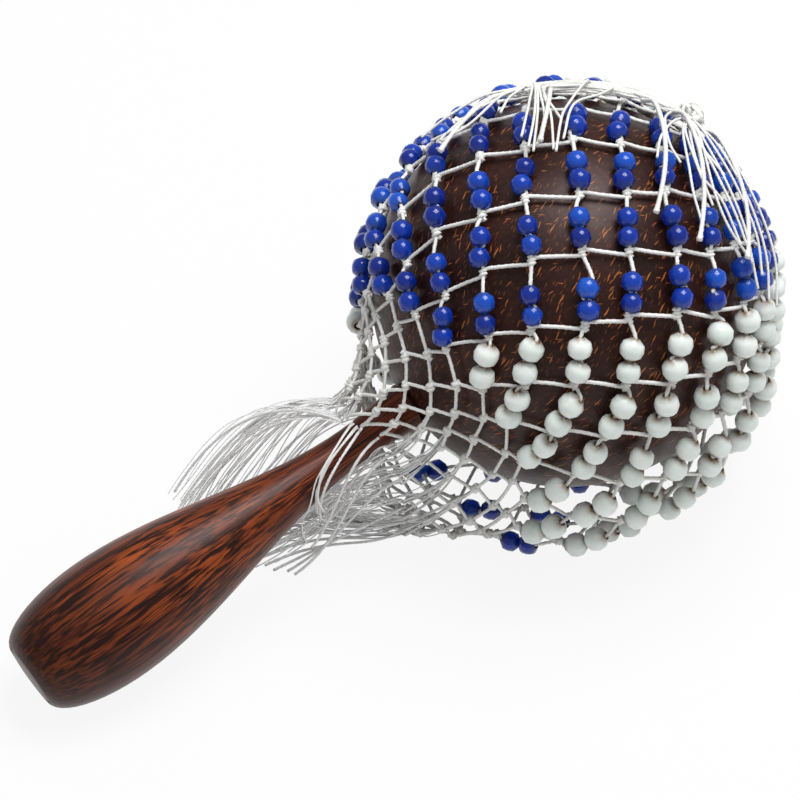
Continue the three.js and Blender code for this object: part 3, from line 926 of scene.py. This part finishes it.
# %% Finish of the shell
def shell_finish():
    material, tree, shader = new_finish("polished_coconut")
    place = object_coordinates(tree)
    cloud = add_ramp(tree, add_noise(tree, place, 45, 4, 0.6),
                     (0.3, (0.008, 0.0025, 0.0018)), (0.7, (0.034, 0.0100, 0.0058)))
    grain = add_ramp(tree, add_noise(tree, place, 700, 4, 0.7),
                     (0.48, BLACK), (0.8, (0.045, 0.013, 0.006)))
    colour = add_blend(tree, 1.0, cloud, grain, "ADD")
    surface = on_surface(tree)
    for slant, size, heart, share, tan in DASH_LAYERS:
        colour = add_blend(tree, dashes(tree, surface, slant, size, heart, share), colour, tan)
    set_inputs(tree, shader, {
        "Base Color": colour,
        "Roughness": add_range(tree, add_noise(tree, place, 240, 3), to_min=0.34, to_max=0.48),
        "Specular IOR Level": 0.34,
        "Specular Tint": (1, 0.82, 0.80, 1),
    })
    add_bump(tree, shader, add_noise(tree, place, 420, 4), 0.12, 0.0006)
    return material


shell.data.materials.clear()
shell.data.materials.append(shell_finish())
print("finish:", shell.data.materials[0].name)

# %% [markdown]
# ## Handle
# The handle was turned on a lathe, and Spin does the same: its outline is extruded point by point
# in a plane through the axis and swept round it. The doubles where the sweep closes are merged.

# %% Handle
start_fresh()
bpy.ops.mesh.primitive_plane_add(size=MM)
handle = bpy.context.object
handle.name = "turned_handle"
bpy.ops.object.mode_set(mode="EDIT")
bpy.ops.mesh.merge(type="CENTER")
spot = bmesh.from_edit_mesh(handle.data)
turning_points = [to_world((-distance, 0, radius)) for radius, distance in outline]
for vertex in spot.verts:
    vertex.co = turning_points[0]
    vertex.select = True
bmesh.update_edit_mesh(handle.data)
for here, there in zip(turning_points, turning_points[1:]):
    bpy.ops.mesh.extrude_vertices_move(TRANSFORM_OT_translate={"value": tuple(there - here)})
bpy.ops.mesh.select_all(action="SELECT")
bpy.ops.mesh.spin(steps=72, angle=2 * math.pi, center=tuple(CENTRE * MM), axis=tuple(CROWN))
bpy.ops.mesh.select_all(action="SELECT")
bpy.ops.mesh.remove_doubles(threshold=1e-6)
face_outwards()
bpy.ops.object.shade_smooth_by_angle(angle=math.radians(38))
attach(handle, "shell_and_handle")
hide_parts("handle")
print("handle faces:", len(handle.data.polygons))

# %% [markdown]
# Palm wood has dark strands in a red-orange ground, all along the trunk. Each layer is a noise with
# four inputs: the way along the axis, the direction round it as two numbers, so that no seam shows,
# and the depth. A change with depth cuts the strands short where the lathe went across them, as on
# the taper and at the butt. The wood is made darker towards the butt, and painted shade darkens its
# underside.

# %% Streaks of the wood
GRAIN_RADIUS = 12


def along_handle(tree):
    """Coordinates in mm from the coconut's middle, the first along the handle's axis."""
    inputs = {"Vector": object_coordinates(tree), "Location": CENTRE * MM,
              "Rotation": (0, -RISE, 0), "Scale": (MM, MM, MM)}
    return add_node(tree, "ShaderNodeMapping", inputs, vector_type="TEXTURE").outputs["Vector"]


def add_streaks(tree, wood, length, width, depth, detail):
    """Noise along the handle with streaks of about one size in mm."""
    outward = add_vector(tree, "MULTIPLY", wood, (0, 1, 1))[0]
    reach = add_vector(tree, "LENGTH", outward)["Value"]
    around = add_vector(tree, "NORMALIZE", outward)[0]
    inputs = {0: around, "Scale": GRAIN_RADIUS / width}
    ring = add_node(tree, "ShaderNodeVectorMath", inputs, operation="SCALE").outputs[0]
    grain = add_vector(tree, "MULTIPLY_ADD", wood, (1 / length, 0, 0), ring)[0]
    inputs = {"Vector": grain, "W": add_math(tree, "DIVIDE", reach, depth),
              "Scale": 1.0, "Detail": detail, "Roughness": 0.5}
    return add_node(tree, "ShaderNodeTexNoise", inputs, noise_dimensions="4D").outputs["Fac"]


print("streaks are measured at a radius of", GRAIN_RADIUS, "mm")

# %% Finish of the handle
# axis, place in mm where the darkening begins, place where it is full, and how strong it is there;
# the first row darkens towards the butt, the second is painted shade on the underside
DARK_BUTT_AND_PAINTED_SHADE = (("X", 16 - BELLY, -BUTT, 0.78), ("Z", 6, -15, 0.55))


def handle_finish():
    material, tree, shader = new_finish("lacquered_palm")
    wood = along_handle(tree)
    ground = add_ramp(tree, add_streaks(tree, wood, 45, 3.5, 6, 3),
                      (0.3, (0.072, 0.0105, 0.0034)), (0.7, (0.41, 0.080, 0.014)))
    strands = add_streaks(tree, wood, 17, 0.6, 1.3, 2)
    dark = add_ramp(tree, strands, (0.44, BLACK), (0.57, WHITE))
    colour = add_blend(tree, dark, ground, (0.011, 0.0030, 0.0019))
    hairs = add_streaks(tree, wood, 13, 0.3, 1.5, 1)
    fine = add_ramp(tree, hairs, (0.5, BLACK), (0.64, (0.85, 0.85, 0.85)))
    colour = add_blend(tree, fine, colour, (0.030, 0.0075, 0.004))
    sides = add_node(tree, "ShaderNodeSeparateXYZ", {"Vector": wood}).outputs
    # darker towards the butt, then painted shade that darkens the underside
    for side, start, end, amount in DARK_BUTT_AND_PAINTED_SHADE:
        dark_butt_and_shade = add_range(tree, sides[side], from_min=start, from_max=end, to_max=amount)
        colour = add_blend(tree, dark_butt_and_shade, colour, (0.016, 0.0036, 0.0018))
    set_inputs(tree, shader, {
        "Base Color": colour,
        "Roughness": 0.42,
        "Specular IOR Level": 0.24,
        "Specular Tint": (1, 0.74, 0.70, 1),
        "Coat Weight": 0.16,
        "Coat Roughness": 0.26,
    })
    add_bump(tree, shader, strands, 0.1, 0.0004)
    return material


handle.data.materials.clear()
handle.data.materials.append(handle_finish())
print("finish:", handle.data.materials[0].name)

# %% [markdown]
# ## Beads
# The beads are drawn glass, blue ones like short barrels and white ones almost round, with a hole
# for the twine. One bead is made from a sphere: both poles are deleted and the two rims bridged, so
# the hole goes right through. It is copied with its own size, tilt and tone each time.

# %% One bead of each kind
BEAD_SIDES, BEAD_RINGS = 14, 6
POLE, RIM_FROM, RIM_STRETCH = 0.99, 0.8, 1.07


def pierced_bead(name, fullness, mouth):
    """Vertices and faces of a bead of radius 1 along the third axis."""
    start_fresh()
    bpy.ops.mesh.primitive_uv_sphere_add(segments=BEAD_SIDES, ring_count=BEAD_RINGS, radius=1)
    bead = bpy.context.object
    bead.name = name
    cut_away(bead, lambda place: abs(place.z) > POLE)
    glass = bmesh.from_edit_mesh(bead.data)
    for edge in glass.edges:
        edge.select = edge.is_boundary
    bmesh.update_edit_mesh(bead.data)
    bpy.ops.mesh.bridge_edge_loops()
    face_outwards()
    for vertex in bead.data.vertices:
        reach = math.hypot(vertex.co.x, vertex.co.y)
        rim = abs(vertex.co.z) > RIM_FROM
        wider = mouth / reach if rim else reach ** (-fullness)
        vertex.co.x *= wider
        vertex.co.y *= wider
        vertex.co.z *= RIM_STRETCH if rim else 1
    vertices = np.array([vertex.co for vertex in bead.data.vertices])
    faces = [tuple(face.vertices) for face in bead.data.polygons]
    print(name, len(faces), "faces")
    bpy.data.objects.remove(bead)
    return vertices, faces


bead_shapes = {"blue": pierced_bead("blue_bead", 0.45, 0.36),
               "white": pierced_bead("white_bead", 0.1, 0.31)}

# %% [markdown]
# The beads of one colour fill whole rows between two cross cords: five rows blue, five white, three
# blue, three white. The last white row begins blue at the crown. Two beads hang in each mesh against
# the lower knot. Under the skein the meshes are empty, because it lies close to the shell there, and
# so are the white ones close behind it.

# %% Colours of the rows
ROW_COLOURS = ["blue"] * 5 + ["white"] * 5 + ["blue"] * 3 + ["white"] * 3
FIRST_ROW = -1
MIXED_ROW, MIXED_COURSE = CORDS - 1, 8
SKEIN_ROOM = {"front": 6.2, "back": 21}
MESH_SHARE, MESH_LIFT = 0.6, 4.4
skein_line = along_skein(np.linspace(0, 1, 17)) * (SHELL_RADIUS + SKEIN_LIFT)


def bead_colour(cord, course):
    row = (cord + course - START_COURSE - FIRST_ROW) % CORDS
    return "blue" if row == MIXED_ROW and course < MIXED_COURSE else ROW_COLOURS[row]


def cell_places(cord, course, shares, lift, layer=NET_LAYER):
    """Places along one mesh of a beaded cord, by shares of the way between its knots."""
    shares = np.asarray(shares, float)
    courses = mix(knot_course[cord, course], knot_course[cord, course + 1], shares)
    turns = mix(knot_turn(cord, course), knot_turn(cord, course + 1), shares)
    return net_point(courses, turns, np.full_like(shares, lift), layer)


def under_skein(cord, course):
    middle = cell_places(cord, course, [MESH_SHARE], MESH_LIFT)[0]
    apart = np.linalg.norm(skein_line - middle, axis=1)
    behind = middle[1] > skein_line[apart.argmin()][1]
    side = "back" if behind and bead_colour(cord, course) == "white" else "front"
    return apart.min() < SKEIN_ROOM[side]


meshes = [(cord, course) for cord in range(CORDS) for course in range(BEADED_COURSES)]
print("empty meshes:", sum(bool(under_skein(*mesh)) for mesh in meshes), "of", len(meshes))

# %% Strings of beads
BEAD_RADIUS = {"blue": 3.05, "white": 3.6}
MESH_SIZE_RANGE, BEAD_SIZE_RANGE = (0.94, 1.04), (0.96, 1.03)
BEAD_LENGTH = 1.9
BEAD_GAP = 0.4
BEAD_ASIDE = 0.85
BEAD_TILT, BEAD_DIP = 16, 7
BEAD_SLIDE = 0.08
LOOK_AHEAD = 2
KNOT_HALF = 1.0
LINE_POINTS = 25
stringing = random.Random(5)


def slope(degrees):
    """Tangent of a random angle up to some degrees to either side."""
    return math.tan(math.radians(stringing.uniform(-degrees, degrees)))


def strung_cell(cord, course):
    """Beads of one mesh: colour, centre, axis, radius and length of each."""
    if under_skein(cord, course):
        return []
    colour = bead_colour(cord, course)
    radius = BEAD_RADIUS[colour] * stringing.uniform(*MESH_SIZE_RANGE)
    lift, layer = BEAD_GAP + radius, BEAD_GAP + 2 * radius
    shares = np.linspace(0, 1, LINE_POINTS)
    line = cell_places(cord, course, shares, lift, layer)
    along = distance_along(line)
    whole = along[-1]

    def place_at(distance):
        return np.array([np.interp(distance, along, line[:, axis]) for axis in range(3)])

    length = min(BEAD_LENGTH * radius, (whole - 2 * KNOT_HALF) / 2)
    half = LINE_POINTS // 2
    out = unit(line[half] - cell_places(cord, course, shares, 0, layer)[half])
    side = unit(np.cross(line[-1] - line[0], out))
    slack = whole - 2 * KNOT_HALF - 2 * length
    slide = stringing.uniform(0, BEAD_SLIDE) * slack
    beads = []
    for order in (1, 0):
        middle = whole - KNOT_HALF - slide - length * (order + 0.5)
        centre, ahead = place_at(middle), place_at(middle + LOOK_AHEAD)
        centre += side * stringing.uniform(-BEAD_ASIDE, BEAD_ASIDE)
        tilt, dip = slope(BEAD_TILT), slope(BEAD_DIP)
        axis = unit(unit(ahead - centre) + side * tilt + out * dip)
        beads.append((colour, centre, axis, radius * stringing.uniform(*BEAD_SIZE_RANGE), length))
    return beads


strings = [[strung_cell(cord, course) for course in range(BEADED_COURSES)] for cord in range(CORDS)]
print("beads:", sum(len(cell) for string in strings for cell in string))

# %% [markdown]
# The glass shows its colour in depth: the blue glows a little where light passes through, and every
# bead has its own tone, which is kept as an attribute on its points. White beads are milky, and
# the twine has stained their holes brown.


# %% Finishes of the beads
def point_value(tree, name):
    """The value of an attribute of the piece's points."""
    return add_node(tree, "ShaderNodeAttribute", attribute_name=name).outputs["Fac"]


def blue_glass():
    material, tree, shader = new_finish("blue_glass")
    place = object_coordinates(tree)
    tone = add_ramp(tree, point_value(tree, "tone"), (0.0, (0.004, 0.028, 0.35)),
                    (0.6, (0.006, 0.066, 0.60)), (1.0, (0.018, 0.16, 0.88)))
    cloud = add_ramp(tree, add_noise(tree, place, 420, 2), (0.3, (0.8, 0.82, 0.88)), (0.7, WHITE))
    colour = add_blend(tree, 1.0, tone, cloud, "MULTIPLY")
    # the blue is made darker round its holes
    darker_round_hole = add_math(tree, "MULTIPLY", point_value(tree, "hole"), 0.6)
    set_inputs(tree, shader, {
        "Base Color": add_blend(tree, darker_round_hole, colour, (0.05, 0.07, 0.16)),
        "Roughness": 0.16,
        "IOR": 1.5,
        "Transmission Weight": 0.35,
    })
    return material


def white_glass():
    material, tree, shader = new_finish("milky_glass")
    place = object_coordinates(tree)
    tone = add_ramp(tree, point_value(tree, "tone"), (0.0, (0.80, 0.875, 0.84)),
                    (0.5, (0.86, 0.92, 0.89)), (1.0, (0.91, 0.955, 0.93)))
    swirl = add_ramp(tree, add_noise(tree, place, 380, 3), (0.35, (0.92, 0.93, 0.91)), (0.65, WHITE))
    colour = add_blend(tree, 1.0, tone, swirl, "MULTIPLY")
    stain = add_math(tree, "MULTIPLY", add_noise(tree, place, 650, 2), 2.0)
    edge = add_math(tree, "POWER", point_value(tree, "hole"), 1.8)
    amount = add_math(tree, "MULTIPLY", edge, stain)
    set_inputs(tree, shader, {
        "Base Color": add_blend(tree, amount, colour, (0.21, 0.115, 0.05)),
        "Roughness": 0.28,
        "Subsurface Weight": 0.3,
        "Subsurface Radius": (0.8, 1, 0.95),
        "Subsurface Scale": 0.002,
    })
    return material


bead_finishes = {"blue": blue_glass(), "white": white_glass()}
print("finishes:", [finish.name for finish in bead_finishes.values()])

# %% Beads on their strings
toning = random.Random(11)


def spun_axes(axis, reference, spin):
    """Two arrows across an axis, turned round it by an angle."""
    start = unit(np.cross(axis, reference))
    first = start * math.cos(spin) + np.cross(axis, start) * math.sin(spin)
    return first, np.cross(axis, first)


def placed_bead(bead):
    """Vertices and faces of one bead in its place, with its tone and its hole's mark."""
    colour, centre, axis, radius, length = bead
    shape, faces = bead_shapes[colour]
    first, second = spun_axes(axis, most_across(axis), toning.uniform(0, 2 * math.pi))
    half = length / 2 / np.abs(shape[:, 2]).max()
    vertices = centre + radius * (np.outer(shape[:, 0], first) + np.outer(shape[:, 1], second))
    vertices = vertices + np.outer(shape[:, 2] * half, axis)
    rim = np.abs(shape[:, 2]) > RIM_FROM
    return vertices, faces, np.full(len(shape), toning.random()), rim.astype(float)


def add_attribute(piece, name, values):
    attribute = piece.data.attributes.new(name, "FLOAT", "POINT")
    attribute.data.foreach_set("value", np.concatenate(values).astype(np.float32))


made = 0
for cord, string in enumerate(strings):
    for colour, finish in bead_finishes.items():
        placed = [placed_bead(bead) for cell in string for bead in cell if bead[0] == colour]
        if not placed:
            continue
        name = f"{colour}_beads"
        piece = piece_from(numbered(name, cord), [bead[:2] for bead in placed], finish)
        add_attribute(piece, "tone", [bead[2] for bead in placed])
        add_attribute(piece, "hole", [bead[3] for bead in placed])
        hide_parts(numbered("beaded_cord", cord))
        start_fresh()
        piece.select_set(True)
        bpy.context.view_layer.objects.active = piece
        bpy.ops.object.shade_smooth_by_angle(angle=math.radians(50))
        made += len(placed)
print("beads placed:", made)

# %% [markdown]
# ## Knots
# Each crossing is tied with two tight wraps. One knot is a short coil: a small ring of four points
# is swept by the Screw modifier round the cord, and then copied to every crossing.

# %% One knot
WRAP_RADIUS, WRAP_OUT, WRAP_HEIGHT = 0.66, 0.72, 2.1
WRAP_ANGLE, WRAP_STEPS = math.radians(790), 14
start_fresh()
bpy.ops.mesh.primitive_circle_add(vertices=4, radius=WRAP_RADIUS, location=(WRAP_OUT, 0, 0),
                                  rotation=(math.pi / 2, 0, 0))
coil = bpy.context.object
bpy.ops.object.transform_apply(location=True, rotation=True, scale=True)
winding = coil.modifiers.new("winding", "SCREW")
winding.angle = WRAP_ANGLE
winding.screw_offset = WRAP_HEIGHT
winding.steps = winding.render_steps = WRAP_STEPS
winding.use_normal_calculate = True
bpy.ops.object.modifier_apply(modifier="winding")
bpy.ops.object.mode_set(mode="EDIT")
bpy.ops.mesh.select_all(action="SELECT")
bpy.ops.mesh.fill_holes(sides=0)
face_outwards()
coil_vertices = np.array([vertex.co for vertex in coil.data.vertices])
coil_vertices[:, 2] -= (coil_vertices[:, 2].max() + coil_vertices[:, 2].min()) / 2
coil_faces = [tuple(face.vertices) for face in coil.data.polygons]
bpy.data.objects.remove(coil)
print("knot:", len(coil_faces), "faces", np.ptp(coil_vertices, axis=0).round(2), "mm")

# %% [markdown]
# The twine of a beaded cord runs from knot to knot and through the holes of its beads, so its line
# goes through both ends of every bead. The knots of the cord are part of the same piece.

# %% Twine of the beaded cords
KNOT_SIZE_RANGE, KNOT_STRETCH = (0.92, 1.12), 1.05
BEAD_END = 0.45
TWINE_STEP, PULLED = 0.45, (0.5, 0.75)
CROWN_COURSES, CROWN_LIFTS = np.array([-1.45, -1.33, -1.0]), np.array([1.4, 3.6, 2.6])
knotting = random.Random(3)


def knot_mesh(at, axis, out):
    """A copy of the knot round a cord, turned by chance."""
    first, second = spun_axes(axis, out, knotting.uniform(0, 2 * math.pi))
    size = knotting.uniform(*KNOT_SIZE_RANGE)
    frame_of_knot = np.stack([first * size, second * size, axis * size * KNOT_STRETCH])
    return at + coil_vertices @ frame_of_knot, coil_faces


def net_cord(points):
    """Mesh of a cord of the net, which gets finer towards the skirt."""
    line = fine_line(points, TWINE_STEP)
    pulled = smoothstep(np.linspace(0, 1, len(line)), *PULLED)
    return twisted(line, mix(TWINE_RADIUS, SKIRT_TWINE_RADIUS, pulled))


def crown_start(cord, turn_at):
    """Places where a cord comes over the drawcord at the crown."""
    return net_point(CROWN_COURSES, turn_at(cord, CROWN_COURSES), CROWN_LIFTS)


for cord, string in enumerate(strings):
    points = list(crown_start(cord, beaded_turn))
    knots = []
    for course in range(EDGE):
        here = knot_place(cord, course)
        points.append(here)
        beads = string[course] if course < BEADED_COURSES else []
        for _, centre, axis, _, length in beads:
            to_end = axis * length * BEAD_END
            points += [centre - to_end, centre + to_end]
        if not beads:
            points += list(cell_places(cord, course, [0.5], KNOT_LIFT))
        onward = unit(points[-1] - here)
        out = unit(here - net_point(knot_course[cord, course], knot_turn(cord, course), 0.0))
        knots.append(knot_mesh(here, onward, out))
    points.append(knot_place(cord, EDGE))
    piece = piece_from(numbered("beaded_twine", cord), [net_cord(points)] + knots, twine)
    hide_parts(numbered("beaded_cord", cord))
print("beaded cords:", CORDS, "with", len(knots), "knots each")

# %% [markdown]
# A cross cord is bare. It enters each knot on the crown side and leaves it on the neck side, so it
# runs in small steps, and between two knots on the shell it lies a little lower.

# %% Cross cords
STEP_AT_KNOT = 0.8
AHEAD = 0.1


def crossing(cord, course):
    """Course and turn of the knot where a cross cord meets a beaded one."""
    other = (cord - (course - START_COURSE)) % CORDS
    return knot_course[other, course], cross_turn(cord, course) + knot_shift[other, course]


for cord in range(CORDS):
    points = list(crown_start(cord, cross_turn))
    for course in range(EDGE + 1):
        at_course, turn = crossing(cord, course)
        here = net_point(at_course, turn, KNOT_LIFT)
        down = unit(net_point(at_course + AHEAD, turn + BEADED_TURN * AHEAD, KNOT_LIFT) - here)
        points += [here - down * STEP_AT_KNOT, here + down * STEP_AT_KNOT]
        if course < EDGE:
            next_course, next_turn = crossing(cord, course + 1)
            lift = CROSS_LIFT if course < BEADED_COURSES else KNOT_LIFT
            points.append(net_point((at_course + next_course) / 2, (turn + next_turn) / 2, lift))
    piece = piece_from(numbered("cross_twine", cord), [net_cord(points)], twine)
    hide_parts(numbered("cross_cord", cord))
print("cross cords:", CORDS)

# %% [markdown]
# ## Gathered crown
# A thicker drawcord pulls the net together at the crown. Its ends and the gathered threads are tied
# in one big overhand knot, a trefoil, and lie as a skein of many strands over the top.

# %% Drawcord
DRAWCORD_ANGLE = math.radians(10)
DRAWCORD_RADIUS, DRAWCORD_LIFT = 1.25, 1.7
DRAWCORD_TWISTS, DRAWCORD_RIDGE, DRAWCORD_SIDES = 8, 0.12, 12
around = np.linspace(0, 2 * math.pi, 121)
loop = direction(DRAWCORD_ANGLE, around) * (SHELL_RADIUS + DRAWCORD_LIFT)
drawcord_mesh = twisted(loop, DRAWCORD_RADIUS, length_of(loop) / DRAWCORD_TWISTS, DRAWCORD_RIDGE,
                        DRAWCORD_SIDES)
drawcord = piece_from("drawcord_loop", [drawcord_mesh], twine)
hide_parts("crown_drawcord")
print("drawcord loop:", round(length_of(loop)), "mm")

# %% Crown knot
LUMP_LIFT = 7.4
TREFOIL_SIZE, TREFOIL_DEPTH, TREFOIL_RADIUS, TREFOIL_LAY = 1.1, 1.1, 1.15, 5.0
LOOSE_WRAPS, LOOSE_RADIUS, LOOSE_LAY = 9, 0.5, 4.0
LOOSE_SWEEP, LOOSE_SIZE, LOOSE_FLAT = (200, 330), (3.2, 4.4), 0.25
gathering = random.Random(17)
knot_side = unit(np.cross(KNOT_OUT, [1, 0, 0]))
knot_down = np.cross(KNOT_OUT, knot_side)
t = np.linspace(0, 2 * math.pi, 90)
trefoil = (np.outer(np.sin(t) + 2 * np.sin(2 * t), knot_side)
           + np.outer(np.cos(t) - 2 * np.cos(2 * t), knot_down)
           - np.outer(np.sin(3 * t) * TREFOIL_DEPTH, KNOT_OUT))
lump_middle = KNOT_OUT * (SHELL_RADIUS + LUMP_LIFT)
wraps = [twisted(lump_middle + trefoil * TREFOIL_SIZE, TREFOIL_RADIUS, TREFOIL_LAY)]
for _ in range(LOOSE_WRAPS):
    pole = unit(np.array([gathering.gauss(0, 1) for _ in range(3)]))
    one = unit(np.cross(pole, knot_side))
    sweep = np.linspace(0, math.radians(gathering.uniform(*LOOSE_SWEEP)), 26)
    sweep = sweep + gathering.uniform(0, 6)
    size = gathering.uniform(*LOOSE_SIZE)
    arc = np.outer(np.cos(sweep), one) + np.outer(np.sin(sweep), np.cross(pole, one))
    arc = arc - np.outer(arc @ KNOT_OUT, KNOT_OUT) * LOOSE_FLAT
    wraps.append(twisted(lump_middle + arc * size, LOOSE_RADIUS, LOOSE_LAY))
crown_knot = piece_from("crown_overhand_knot", wraps, twine)
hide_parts("crown_knot")
print("wraps of the crown knot:", len(wraps))

# %% Skein
SKEIN_STRANDS = 22
SKEIN_BEGIN, SKEIN_END = (-0.04, 0.05), (0.9, 1.06)
SKEIN_HALF, SKEIN_HEIGHT, SKEIN_SWAY = 2.3, (-1.0, 1.1), 0.5
strands = []
for _ in range(SKEIN_STRANDS):
    shares = np.linspace(gathering.uniform(*SKEIN_BEGIN), gathering.uniform(*SKEIN_END), 14)
    base = along_skein(shares)
    side = unit(np.cross(np.gradient(base, axis=0), base))
    place, height = gathering.uniform(-SKEIN_HALF, SKEIN_HALF), gathering.uniform(*SKEIN_HEIGHT)
    sway = np.array([gathering.uniform(-SKEIN_SWAY, SKEIN_SWAY) for _ in shares])
    line = base * (SHELL_RADIUS + SKEIN_LIFT + height) + side * (place + sway)[:, None]
    strands.append(strand(fine_line(line, STRAND_STEP)))
skein = piece_from("crown_skein_strands", strands, twine)
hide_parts("crown_skein")
print("skein strands:", len(strands))

# %% [markdown]
# ## Room
# The photograph is a plain studio shot: white ground, one large soft lamp above, a little light
# from the front. The floor shows white to the camera and in the gloss, keeps a faint shadow, and
# still lights the pieces from below as any pale table would.

# %% Floor
FLOOR_SIZE, FLOOR_DROP = 6, 0.0005
FLOOR_PAINT = 0.82
WHITE_SHARE = 0.9
start_fresh()
bpy.ops.mesh.primitive_plane_add(size=FLOOR_SIZE, location=(0, 0, -FLOOR_DROP))
floor = bpy.context.object
floor.name = "studio_floor"
material, tree, shader = new_finish("studio_floor")
tree.nodes.remove(shader)
paint = add_node(tree, "ShaderNodeBsdfDiffuse", {"Color": (FLOOR_PAINT,) * 3 + (1,)})
glow = add_node(tree, "ShaderNodeEmission", {"Color": (1, 1, 1, 1), "Strength": 1.0})
ray = add_node(tree, "ShaderNodeLightPath").outputs
seen = add_math(tree, "ADD", ray["Is Camera Ray"], ray["Is Glossy Ray"])
seen = add_math(tree, "ADD", seen, ray["Is Transmission Ray"])
share = add_math(tree, "MULTIPLY", seen, WHITE_SHARE)
both = add_node(tree, "ShaderNodeMixShader", {0: share, 1: paint.outputs[0], 2: glow.outputs[0]})
set_inputs(tree, tree.nodes["Material Output"], {"Surface": both.outputs[0]})
floor.data.materials.append(material)
print("floor:", floor.name)


# %% Lamps and surroundings
def soft_lamp(name, towards, distance, size, power):
    """A rectangular lamp that faces the coconut from a direction, in metres and watts."""
    lamp = bpy.data.lights.new(name, "AREA")
    lamp.shape = "RECTANGLE"
    lamp.size, lamp.size_y = size
    lamp.energy = power
    stand = bpy.data.objects.new(name, lamp)
    bpy.context.scene.collection.objects.link(stand)
    arrow = unit(np.array(towards, float))
    stand.location = CENTRE * MM + arrow * distance
    yaw = math.atan2(arrow[0], -arrow[1])
    stand.rotation_euler = (math.acos(arrow[2]), 0, yaw)
    return stand


softbox = soft_lamp("overhead_softbox", (0.25, 0.05, 0.97), 1.0, (0.62, 0.62), 10.4)
front_strip = soft_lamp("front_strip", (-0.45, -0.8, 0.4), 1.3, (0.9, 0.3), 1.3)
front_strip.visible_glossy = False

world = bpy.data.worlds.new("studio")
bpy.context.scene.world = world
world.use_nodes = True
surround = world.node_tree.nodes["Background"]
set_inputs(world.node_tree, surround, {"Color": (1, 1, 1, 1), "Strength": 0.36})
bpy.context.scene.view_settings.view_transform = "Standard"
print("lamps:", softbox.name, front_strip.name)
